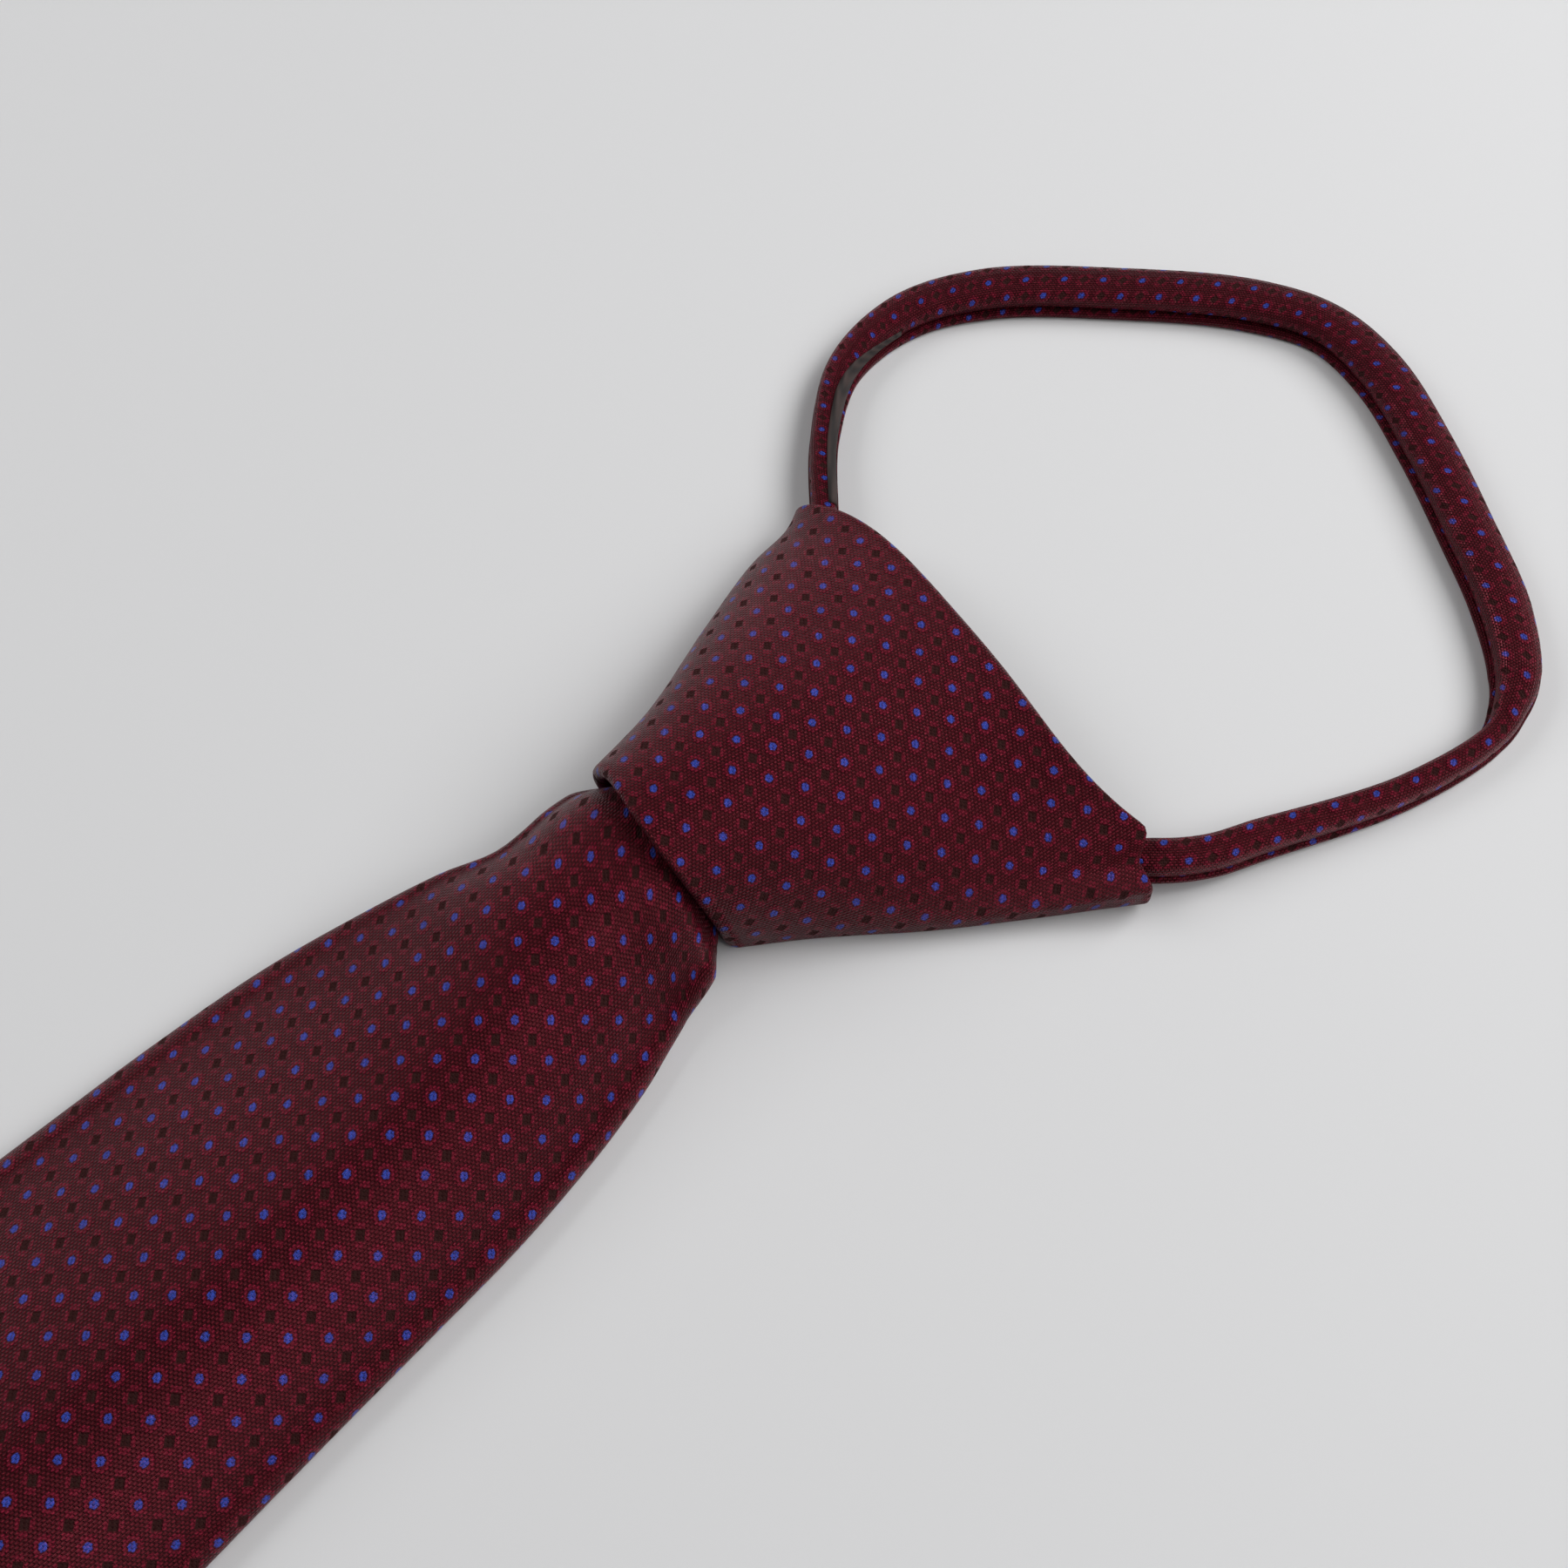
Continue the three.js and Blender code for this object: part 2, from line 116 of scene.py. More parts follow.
# Knot's hems: thickness, depth inside as a share of the knot's length, rows inside and round
# each hem, then rows of the face and columns of half the round
HEM = 1.6
HEM_DEPTH = 0.2
HEM_INSIDE_ROWS = 6
HEM_TURN_ROWS = 9
KNOT_ROWS = 60
KNOT_FACE = 100

# Neck band: size of its loop, its own size, the depth of its grooves, and its stations
LOOP_WIDTH = 82.5
LOOP_LENGTH = 64.4
BAND_WIDTH = 6.2
BAND_THICKNESS = 3.9
GROOVE_DEPTH = 1.3
BAND_STATIONS = 300

# Zip tape on the band: rows of the band's route it runs between, rows of the band's section
# it covers, how much and from where it tapers, columns, thickness and clearance
TAPE_ENDS = (3.0, 5.8)
TAPE_ROWS = (9, 15)
TAPE_TAPER = 0.65
TAPER_START = 0.5
TAPE_COLUMNS = 9
TAPE_THICKNESS = 0.45
TAPE_CLEAR = 0.12

# Closed zip: length below and above the mouth, widths below the knot and inside it, the run
# over which it narrows and rises, its level, and its tapes' edges as shares of its width
ZIP_LENGTH = 180.0
ZIP_TOP = 18.0
ZIP_THICKNESS = 3.4
ZIP_WIDTHS = (14.0, 9.0)
ZIP_NECK = (-TURN_LENGTH, -1)
ZIP_LEVEL = 1.4
ZIP_TAPE_EDGES = (0.10, 0.5)
ZIP_TAPE_COLUMNS = 7
ZIP_NECK_ROWS = 12
ZIP_ROWS = 40

# Teeth: width, length, corner and steps round it, levels, bevel, pitch, shift to each side,
# and how far they keep from both ends of the tapes
TOOTH = (2.6, 0.9, 0.35, 3)
TOOTH_LEVELS = (-0.8, 1.0)
TOOTH_BEVEL = 0.2
TOOTH_PITCH = 0.85
TOOTH_SHIFT = 0.55
TEETH_CLEAR = 1

# Slider: name, then width, length and corner, levels and bevel of each solid
SLIDER_LENGTH = 11.0
SLIDER_PLATE = (8.0, SLIDER_LENGTH, 2.6)
SLIDER_SOLIDS = (
    ("zip_slider_base", SLIDER_PLATE, (0.0, 1.3), 0.4),
    ("zip_slider_top", SLIDER_PLATE, (3.9, 5.2), 0.4),
    ("zip_slider_post", (2.6, 4.0, 0.8), (1.2, 4.0), 0.1),
)

# Pull and stop at the zip's lower end: the same, and how far below the tapes each lies
PULL_LENGTH = 22.0
END_DROP = 0.4
END_SOLIDS = (
    ("zip_pull", (8.0, PULL_LENGTH, 2.4), (-0.6, 1.0), 0.4, PULL_LENGTH / 2),
    ("zip_stop", (12.0, 4.0, 1.0), (-0.8, 1.8), 0.4, 1.5),
)

# Blade's outline: share of its length, left and right shares of half its width. It fills
# the knot's mouth.
BLADE_OUTLINE = (
    (-0.032, 0.200, 0.200),
    (-0.006, 0.205, 0.205),
    (-0.001, 0.245, 0.278),
    (0.003, 0.268, 0.326),
    (0.008, 0.286, 0.334),
    (0.016, 0.278, 0.338),
    (0.024, 0.285, 0.354),
    (0.038, 0.360, 0.398),
    (0.058, 0.435, 0.440),
    (0.085, 0.527, 0.473),
    (0.111, 0.566, 0.486),
    (0.137, 0.586, 0.498),
    (0.230, 0.645, 0.554),
    (0.340, 0.705, 0.628),
    (0.470, 0.770, 0.710),
    (0.560, 0.818, 0.770),
    (0.720, 0.903, 0.875),
    (0.910, 1.000, 1.000),
    (1.000, 1.000, 1.000),
)

# Blade's height: share of its length, of its arch, how far it clears the zip, lift off the
# table, height of the left edge
BLADE_RELIEF = (
    (-0.032, 0.78, 1, 1.0, 0.0),
    (-0.006, 0.78, 1, 1.0, 0.3),
    (-0.001, 0.82, 1, 1.0, 0.3),
    (0.003, 0.90, 1, 1.0, 0.4),
    (0.008, 0.95, 1, 0.8, 0.6),
    (0.016, 0.98, 1, 0.4, 0.9),
    (0.024, 0.98, 1, 0.1, 0.9),
    (0.038, 0.92, 1, 0.0, 0.7),
    (0.058, 0.68, 1, 0.0, 0.5),
    (0.085, 0.53, 1, 0.0, 0.1),
    (0.111, 0.47, 1, 0.0, 0.0),
    (0.137, 0.45, 1, 0.0, 0.0),
    (0.230, 0.38, 1, 0.0, 0.0),
    (0.340, 0.26, 1, 0.0, 0.0),
    (0.470, 0.16, 1, 0.0, 0.0),
    (0.560, 0.00, 0, 0.0, 0.0),
    (1.000, 0.00, 0, 0.0, 0.0),
)

# Blade's flanks: share of its length, place of the ridge as a share of half its width, and
# how sharply the left and right flanks fall
BLADE_FLANKS = (
    (-0.032, 0.00, 3.4, 2.8),
    (0.003, 0.00, 3.6, 2.8),
    (0.008, 0.00, 3.5, 2.6),
    (0.024, 0.00, 3.0, 2.1),
    (0.038, 0.01, 2.6, 2.0),
    (0.058, 0.06, 2.0, 2.1),
    (0.085, 0.09, 1.5, 2.2),
    (0.111, 0.09, 1.4, 2.3),
    (0.137, 0.09, 1.4, 2.3),
    (0.230, 0.06, 1.6, 2.2),
    (0.340, 0.03, 1.9, 2.1),
    (0.470, 0.00, 2.0, 2.0),
    (1.000, 0.00, 2.0, 2.0),
)

# Knot: share of its length, left and right shares of half its width, shares of its depth and
# of its width for its height and crown, left and right roll height, left and right fullness
KNOT_SECTIONS = (
    (0.00, 0.338, 0.354, 1.00, 0.00, 0.36, 0.16, 2.6, 2.00),
    (0.20, 0.442, 0.484, 0.95, -0.02, 0.32, 0.13, 2.6, 1.70),
    (0.48, 0.675, 0.69, 0.86, -0.05, 0.27, 0.13, 2.1, 1.55),
    (0.74, 0.840, 0.86, 0.75, -0.09, 0.24, 0.15, 1.9, 1.50),
    (0.88, 0.884, 0.95, 0.68, -0.11, 0.24, 0.19, 2.0, 1.60),
    (1.00, 0.955, 1.03, 0.62, -0.12, 0.24, 0.24, 2.2, 1.80),
)

# Neck band's middle line: across and along as shares of the loop, width and thickness as
# shares of the band's, and lift off the table
BAND_ROUTE = (
    (-0.036, -0.345, 0.54, 0.60, 1.0),
    (-0.120, -0.250, 0.54, 0.60, 1.0),
    (-0.220, -0.120, 0.54, 0.60, 1.0),
    (-0.336, -0.030, 0.50, 0.65, 1.0),
    (-0.452, 0.068, 0.52, 0.85, 0.4),
    (-0.542, 0.190, 0.64, 1.00, 0.0),
    (-0.570, 0.349, 0.84, 1.00, 0.0),
    (-0.534, 0.509, 0.94, 1.00, 0.0),
    (-0.422, 0.712, 0.94, 1.00, 0.0),
    (-0.294, 0.896, 0.96, 1.00, 0.0),
    (-0.198, 0.974, 0.91, 1.00, 0.0),
    (-0.089, 0.985, 0.97, 1.00, 0.0),
    (0.049, 0.944, 0.97, 1.00, 0.0),
    (0.184, 0.886, 0.96, 1.00, 0.0),
    (0.302, 0.829, 0.96, 1.00, 0.0),
    (0.390, 0.759, 0.84, 0.98, 0.0),
    (0.422, 0.707, 0.62, 0.92, 0.0),
    (0.442, 0.648, 0.46, 0.85, 0.0),
    (0.437, 0.461, 0.53, 0.85, 0.0),
    (0.387, 0.206, 0.65, 0.90, 0.3),
    (0.370, 0.118, 0.68, 0.85, 0.6),
    (0.337, 0.034, 0.72, 0.78, 1.0),
    (0.235, -0.120, 0.54, 0.60, 1.0),
    (0.120, -0.250, 0.54, 0.60, 1.0),
    (0.036, -0.345, 0.54, 0.60, 1.0),
)

# Right half of the band's section, from the middle of its base round its edge to the
# middle of its top: across as a share of its width, up as a share of its thickness, and how
# far into the groove
BAND_HALF = (
    (0.00, 0.00, 0.0),
    (0.22, 0.00, 0.0),
    (0.42, 0.00, 0.0),
    (0.51, 0.04, 0.0),
    (0.54, 0.13, 0.0),
    (0.53, 0.23, 0.0),
    (0.50, 0.29, 0.3),
    (0.46, 0.32, 1.0),
    (0.46, 0.40, 1.0),
    (0.46, 0.43, 0.3),
    (0.47, 0.50, 0.0),
    (0.47, 0.62, 0.0),
    (0.45, 0.76, 0.0),
    (0.40, 0.88, 0.0),
    (0.30, 0.96, 0.0),
    (0.15, 0.99, 0.0),
    (0.00, 1.00, 0.0),
)

# How the figure lies on each piece, for its warp and its weft: lean from the piece's length
# in degrees, stretch of the cloth, and where the figure starts in millimetres
BLADE_WEAVE = ((41.3, 1.12, 16.8), (38.6, 0.95, -7.7))
KNOT_WEAVE = ((42.9, 0.94, -18.0), (45.6, 1.19, 17.1))

# Band's cloth, cut on the bias: distance along it, and how far its warp and weft have run by
# there. Across the band they run on by the shares below.
BAND_CLOTH = (
    (0, -75.0, 74.0),
    (36, -36.6, 37.6),
    (63, -6.5, 9.2),
    (104, 29.3, -25.8),
    (141, 64.7, -59.8),
    (170, 89.9, -84.6),
    (215, 124.7, -123.8),
    (252, 152.0, -152.0),
)
BAND_CROSS = (0.93, 0.80)

# How fast the blade's threads drift to one side below the knot, and down to what distance
# they go on turning
WEAVE_DRIFT = 0.0016
DRIFT_END = 75.0

# Weave: range of the noise that varies it, shades of its floats, of its wear from place to
# place and of its strands, and how far a figure's edge strays, as a share of its size
NOISE_RANGE = (0.3, 0.7)
FLOAT_SHADE = (0.75, 1.1)
WEAR_SHADE = (0.92, 1.06)
STRAND_SHADE = (0.55, 1.1)
STRAND_SCALE = 0.3183
SHADOW_SHARE = 0.3
EDGE_STRAY = 0.10

# Figure, in repeats: middle of a repeat, a dot's dark outline as a share of the dot, middle
# and half sizes of the marks beside and at the ends of a square, and where the edges of
# round and square figures start and end, as shares of their size
REPEAT_MIDDLE = (0.5, 0.5, 0)
OUTLINE_SHARE = 1.35
SIDE_MARK = ((0.175, 0, 0), (0.055, 0.12))
END_MARK = ((0, 0.245, 0), (0.12, 0.075))
ROUND_EDGE = (0.85, 1.12)
SQUARE_EDGE = (0.85, 1.15)

# Relief of the weave: rise of the rings and of the sunken squares as shares of a float's, a
# float's height in metres, and the roughness of the squares
RING_RISE = 0.8
SQUARE_RISE = -0.5
FLOAT_HEIGHT = 0.00024
SQUARE_ROUGHNESS = 0.9

# Camera: where it stands from the knot's lower mouth, and its three directions
CAMERA_OFFSET = (77.2, -43.0, 195.6)
CAMERA_RIGHT = (0.6948, 0.7176, -0.0484)
CAMERA_UP = (-0.6287, 0.6387, 0.4437)
CAMERA_LENS = 46.0
CAMERA_SENSOR = 36.0

# Lights: where they stand from the knot's lower mouth, in metres, and how bright the room is
# at the height of the surface as a share of overhead
KEY_DIRECTION = (0.28, 0.79, 0.70)
RIGHT_DIRECTION = (0.66, 0.28, 0.68)
SIDE_DIRECTION = (-0.77, -0.29, 0.70)
LIGHT_DISTANCE = 0.9
HORIZON_SHARE = 0.8

# Half the side of the surface, and the nearest and furthest that the camera sees, in metres
SURFACE_HALF = 4.0
CAMERA_CLIP = (0.01, 20)


def linear(colour):
    """sRGB hex to linear red, green, blue."""
    values = [int(colour[i : i + 2], 16) / 255 for i in (1, 3, 5)]
    return tuple(
        v / 12.92 if v <= 0.04045 else ((v + 0.055) / 1.055) ** 2.4 for v in values
    )


# Curves through tables


def smooth_columns(table, places):
    """Each column of a table at the places asked for, on curves that keep within its rows."""
    table = np.array(table, float)
    at, values = table[:, 0], table[:, 1:]
    step = np.diff(values, axis=0) / np.diff(at)[:, None]
    before, after = step[:-1], step[1:]
    same_way = before * after > 0
    inner = np.where(same_way, 2 * before * after / np.where(same_way, before + after, 1), 0)
    slope = np.vstack([step[:1], inner, step[-1:]])
    places = np.clip(np.atleast_1d(places), at[0], at[-1])
    row = np.clip(np.searchsorted(at, places) - 1, 0, len(at) - 2)
    span = (at[row + 1] - at[row])[:, None]
    t = (places - at[row])[:, None] / span
    blend = t * t * (3 - 2 * t)
    level = values[row] + (values[row + 1] - values[row]) * blend
    return level + t * (1 - t) * ((1 - t) * slope[row] - t * slope[row + 1]) * span


def smoothstep(low, high, value):
    t = np.clip((value - low) / (high - low), 0, 1)
    return t * t * (3 - 2 * t)


def centripetal(points, steps):
    """Points along a smooth curve through the given ones, and each one's place in the list."""
    last = len(points) - 1
    out = []
    at = np.linspace(0, last, steps)
    for place in at:
        i = min(int(place), last - 1)
        p1, p2 = points[i], points[i + 1]
        p0 = points[i - 1] if i else 2 * p1 - p2
        p3 = points[i + 2] if i + 2 <= last else 2 * p2 - p1
        gaps = [np.linalg.norm(b - a) ** 0.5 for a, b in ((p0, p1), (p1, p2), (p2, p3))]
        t0, t1 = 0.0, gaps[0]
        t2, t3 = gaps[0] + gaps[1], sum(gaps)
        t = t1 + (place - i) * gaps[1]
        a1 = p0 + (p1 - p0) * (t - t0) / (t1 - t0)
        a2 = p1 + (p2 - p1) * (t - t1) / (t2 - t1)
        a3 = p2 + (p3 - p2) * (t - t2) / (t3 - t2)
        b1 = a1 + (a2 - a1) * (t - t0) / (t2 - t0)
        b2 = a2 + (a3 - a2) * (t - t1) / (t3 - t1)
        out.append(b1 + (b2 - b1) * (t - t1) / (t2 - t1))
    return np.array(out), at


# Placing shapes


def run_points(s, x, z):
    """Points of the tie's own run: s along it from the mouth, up the knot or down the blade."""
    turn = KNOT_TURN * smoothstep(-TURN_LENGTH, 0, s)
    inside = np.maximum(s, 0)
    return np.stack(
        [
            inside * math.sin(KNOT_TURN) + x * np.cos(turn),
            inside * math.cos(KNOT_TURN) + np.minimum(s, 0) - x * np.sin(turn),
            z + np.zeros_like(x),
        ],
        axis=-1,
    )


def knot_points(across, along, up):
    """Points given on the knot's own axes."""
    c, s = math.cos(KNOT_TURN), math.sin(KNOT_TURN)
    return np.stack([across * c + along * s, along * c - across * s, up], axis=-1)


def placed(points):
    """Millimetres from the mouth to metres in the part's own frame."""
    return (points + np.array([MOUTH[0], MOUTH[1], 0.0])) * MM


def arc_lengths(points, axis, start):
    """Distance along one axis of a grid of points, counted from the index start."""
    gap = np.linalg.norm(np.diff(points, axis=axis), axis=-1)
    zero = np.zeros_like(np.take(gap, [0], axis=axis))
    run = np.cumsum(np.concatenate([zero, gap], axis=axis), axis=axis)
    return run - np.take(run, [start], axis=axis)


def turned(across, along, warp, weft):
    """Cloth coordinates along its two threads, from distances across and along a piece. The
    warp and the weft each have their lean from its length, stretch and start."""
    warp_lean, warp_stretch, warp_start = math.radians(warp[0]), *warp[1:]
    weft_lean, weft_stretch, weft_start = math.radians(weft[0]), *weft[1:]
    u = across * math.sin(warp_lean) + along * math.cos(warp_lean)
    v = across * math.cos(weft_lean) - along * math.sin(weft_lean)
    return np.stack(
        [u * warp_stretch + warp_start, v * weft_stretch + weft_start, 0 * u], axis=-1
    )


def linked_piece(name, mesh, material):
    """A piece from its finished mesh, riding on the part's one body."""
    mesh.materials.append(material)
    mesh.update()
    piece = bpy.data.objects.new(name, mesh)
    bpy.context.collection.objects.link(piece)
    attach(piece, "root")
    return piece


def grid_piece(name, points, weave, material, flip=False):
    """A piece from a grid of points, with its cloth coordinates kept as weave_mm."""
    rows, columns = points.shape[:2]
    index = np.arange(rows * columns).reshape(rows, columns)
    corners = [index[:-1, :-1], index[1:, :-1], index[1:, 1:], index[:-1, 1:]]
    faces = np.stack(corners[::-1] if flip else corners, axis=-1).reshape(-1, 4)
    mesh = bpy.data.meshes.new(name)
    mesh.from_pydata(placed(points).reshape(-1, 3).tolist(), [], faces.tolist())
    mesh.polygons.foreach_set("use_smooth", [True] * len(mesh.polygons))
    if weave is not None:
        layer = mesh.attributes.new("weave_mm", "FLOAT_VECTOR", "POINT")
        layer.data.foreach_set("vector", weave.reshape(-1).astype(np.float32))
    return linked_piece(name, mesh, material)


def outline_piece(name, outline, levels, bevel, material, places):
    """Copies of a flat solid of the zip with bevelled edges, joined in one mesh. The outline
    is round its own middle, the levels are its lowest and highest, and the places are its
    middles and turns."""
    low, high = levels
    outline = np.array(outline, float)
    shrunk = outline * (1 - bevel / np.abs(outline).max(axis=0))
    rings = [(shrunk, low), (outline, low + bevel), (outline, high - bevel), (shrunk, high)]
    count = len(outline)
    points, faces = [], []
    for x, y, z, turn in places:
        c, s = math.cos(turn), math.sin(turn)
        first = len(points)
        for ring, up in rings:
            for u, v in ring:
                points.append((x + u * c - v * s, y + u * s + v * c, z + up))
        for level in range(len(rings) - 1):
            for k in range(count):
                a = first + level * count + k
                b = first + level * count + (k + 1) % count
                faces.append((a, b, b + count, a + count))
        faces.append(tuple(range(first + count - 1, first - 1, -1)))
        faces.append(tuple(range(first + 3 * count, first + 4 * count)))
    mesh = bpy.data.meshes.new(name)
    mesh.from_pydata(placed(np.array(points)).tolist(), [], faces)
    return linked_piece(name, mesh, material)


def rounded(width, length, corner, steps=5):
    """Outline of a rectangle with round corners, anticlockwise round its middle."""
    points = []
    for k, (sx, sy) in enumerate(((1, 1), (-1, 1), (-1, -1), (1, -1))):
        for angle in np.linspace(k, k + 1, steps) * math.pi / 2:
            x = sx * (width / 2 - corner) + corner * math.cos(angle)
            y = sy * (length / 2 - corner) + corner * math.sin(angle)
            points.append((x, y))
    return points


def thicken(piece, thickness):
    """Gives a sheet its thickness, inwards from the face that shows."""
    solid = piece.modifiers.new("Thickness", "SOLIDIFY")
    solid.thickness = thickness * MM
    solid.offset = -1
    solid.use_rim = True


# Materials


def add(tree, kind, inputs=None, **settings):
    """Adds a node with its settings, and links or sets the inputs given by place or name."""
    made = tree.nodes.new(kind)
    for name, value in settings.items():
        setattr(made, name, value)
    for key, value in (inputs or {}).items():
        if isinstance(value, bpy.types.NodeSocket):
            tree.links.new(value, made.inputs[key])
        else:
            made.inputs[key].default_value = value
    return made


def vector_maths(tree, operation, *values):
    """One step of arithmetic on vectors."""
    inputs = dict(enumerate(values))
    return add(tree, "ShaderNodeVectorMath", inputs, operation=operation).outputs[0]


def maths(tree, operation, *values, **settings):
    """One step of arithmetic."""
    inputs = dict(enumerate(values))
    return add(tree, "ShaderNodeMath", inputs, operation=operation, **settings).outputs[0]


def mixed(tree, factor, low, high):
    """A colour between two, by a factor."""
    return add(
        tree, "ShaderNodeMix", {"Factor": factor, 6: low, 7: high}, data_type="RGBA"
    ).outputs[2]


def remapped(tree, value, source, target, interpolation="LINEAR"):
    """A value taken from one range to another."""
    return add(
        tree,
        "ShaderNodeMapRange",
        {0: value, 1: source[0], 2: source[1], 3: target[0], 4: target[1]},
        interpolation_type=interpolation,
    ).outputs[0]


def new_material(name):
    """A material with no nodes yet."""
    material = bpy.data.materials.new(name)
    material.use_nodes = True
    material.node_tree.nodes.clear()
    return material


def principled(tree, inputs):
    """The surface of a material, from the inputs given by name."""
    surface = add(tree, "ShaderNodeBsdfPrincipled", inputs)
    add(tree, "ShaderNodeOutputMaterial", {"Surface": surface.outputs[0]})


def woven_floats(tree, cell, settings):
    """Floats of the weave, staggered row by row on the slant: how bright each place is, and
    how far it is in the gap between two floats."""
    slanted = add(
        tree, "ShaderNodeVectorRotate", {"Vector": cell, "Angle": settings.slant}
    ).outputs[0]
    floats = add(
        tree,
        "ShaderNodeTexBrick",
        {
            "Vector": slanted,
            "Scale": 1.0,
            "Color1": (1, 1, 1, 1),
            "Color2": (0.45, 0.45, 0.45, 1),
            "Mortar": (0, 0, 0, 1),
            "Mortar Size": settings.float_gap,
            "Mortar Smooth": 1.0,
            "Bias": 0.0,
            "Brick Width": 1 / settings.floats_across,
            "Row Height": 1 / settings.floats_along,
        },
        offset=0.5,
    )
    uneven = add(tree, "ShaderNodeTexNoise", {"Vector": cell, "Scale": 9.0, "Detail": 2.0})
    shade = remapped(tree, uneven.outputs["Fac"], NOISE_RANGE, FLOAT_SHADE)
    level = maths(tree, "MULTIPLY", floats.outputs["Color"], shade, use_clamp=True)
    return level, floats.outputs["Fac"]


def inside_figure(tree, reach, ragged, edge):
    """1 inside a figure and 0 outside it, from a reach that is 1 on its outline."""
    rough_reach = maths(tree, "ADD", reach, ragged)
    return remapped(tree, rough_reach, edge, (1.0, 0.0), "SMOOTHSTEP")


def figure_masks(tree, cell, ragged, settings):
    """Masks of the figure by name. Dots lie in the middles of the repeats, and squares on
    their corners."""
    in_cell = vector_maths(tree, "FRACTION", cell)
    from_dot = vector_maths(tree, "SUBTRACT", in_cell, REPEAT_MIDDLE)
    shifted = vector_maths(tree, "ADD", cell, REPEAT_MIDDLE)
    in_shifted = vector_maths(tree, "FRACTION", shifted)
    from_square = vector_maths(tree, "SUBTRACT", in_shifted, REPEAT_MIDDLE)
    near_square = vector_maths(tree, "ABSOLUTE", from_square)

    masks = {}
    for name, size in (
        ("dot", settings.dot_size),
        ("outline", tuple(v * OUTLINE_SHARE for v in settings.dot_size)),
        ("ring", settings.ring_size),
    ):
        share = vector_maths(tree, "MULTIPLY", from_dot, (1 / size[0], 1 / size[1], 0))
        reach = add(tree, "ShaderNodeVectorMath", {0: share}, operation="LENGTH")
        masks[name] = inside_figure(tree, reach.outputs["Value"], ragged, ROUND_EDGE)
    for name, middle, size in (
        ("square", (0, 0, 0), settings.square_size),
        ("side", *SIDE_MARK),
        ("end", *END_MARK),
    ):
        offset = vector_maths(tree, "SUBTRACT", near_square, middle)
        away = vector_maths(tree, "ABSOLUTE", offset)
        share = vector_maths(tree, "MULTIPLY", away, (1 / size[0], 1 / size[1], 0))
        parts = add(tree, "ShaderNodeSeparateXYZ", {0: share})
        reach = maths(tree, "MAXIMUM", parts.outputs["X"], parts.outputs["Y"])
        masks[name] = inside_figure(tree, reach, ragged, SQUARE_EDGE)
    return masks


def figured(tree, cell, colour, float_level, masks, settings):
    """The cloth's colour with its figure laid over it, from the marks round the squares to
    the dots. Blue and black are streaked by the strands in them."""
    strands = add(
        tree,
        "ShaderNodeTexWave",
        {"Vector": cell, "Scale": settings.floats_across * STRAND_SCALE, "Distortion": 0.6},
        bands_direction="X",
    ).outputs["Fac"]
    strand_level = remapped(tree, strands, (0.0, 1.0), STRAND_SHADE)
    for mask, tone, level, strength in (
        ("side", settings.crimson, float_level, 0.85),
        ("end", settings.crimson, float_level, 0.75),
        ("square", settings.black, strand_level, 1.0),
        ("ring", settings.crimson, float_level, 0.95),
        ("outline", settings.ground, strand_level, 0.85),
        ("dot", settings.blue, strand_level, 1.0),
    ):
        amount = maths(tree, "MULTIPLY", masks[mask], strength)
        shadow = tuple(v * SHADOW_SHARE for v in tone)
        streaked = mixed(tree, level, (*shadow, 1), (*tone, 1))
        colour = mixed(tree, amount, colour, streaked)
    return colour


def jacquard_satin(settings):
    """Polyester jacquard, satin woven: floats of dusty red over a near-black burgundy
    ground, raised blue dots in crimson rings, and flat black squares between them. Its gloss
    is red and wide, so that the folds shine in the cloth's own colour."""
    tree = new_material("woven_jacquard_satin").node_tree
    pitch = (settings.pitch, settings.pitch * settings.pitch_ratio, 1.0)
    cloth = add(tree, "ShaderNodeAttribute", attribute_name="weave_mm").outputs["Vector"]
    cell = vector_maths(tree, "DIVIDE", cloth, pitch)

    float_level, gap = woven_floats(tree, cell, settings)
    ragged = remapped(tree, gap, (0.0, 1.0), (-EDGE_STRAY, EDGE_STRAY))
    masks = figure_masks(tree, cell, ragged, settings)
    plain = mixed(tree, float_level, (*settings.ground, 1), (*settings.float_red, 1))
    even = figured(tree, cell, plain, float_level, masks, settings)
    patch = add(tree, "ShaderNodeTexNoise", {"Vector": cell, "Scale": 0.35, "Detail": 1.0})
    wear = remapped(tree, patch.outputs["Fac"], NOISE_RANGE, WEAR_SHADE)
    colour = add(
        tree, "ShaderNodeVectorMath", {0: even, "Scale": wear}, operation="SCALE"
    ).outputs[0]

    raised = maths(tree, "MULTIPLY", masks["ring"], RING_RISE)
    lowered = maths(tree, "MULTIPLY", masks["square"], SQUARE_RISE)
    height = maths(tree, "ADD", maths(tree, "ADD", raised, lowered), float_level)
    bump = add(
        tree, "ShaderNodeBump", {"Height": height, "Strength": 1.0, "Distance": FLOAT_HEIGHT}
    )
    roughness = (settings.gloss_roughness, SQUARE_ROUGHNESS)
    principled(
        tree,
        {
            "Base Color": colour,
            "Roughness": remapped(tree, masks["square"], (0.0, 1.0), roughness),
            "IOR": 1.5,
            "Specular IOR Level": 0.7,
            "Specular Tint": (*settings.gloss, 1),
            "Normal": bump.outputs[0],
        },
    )


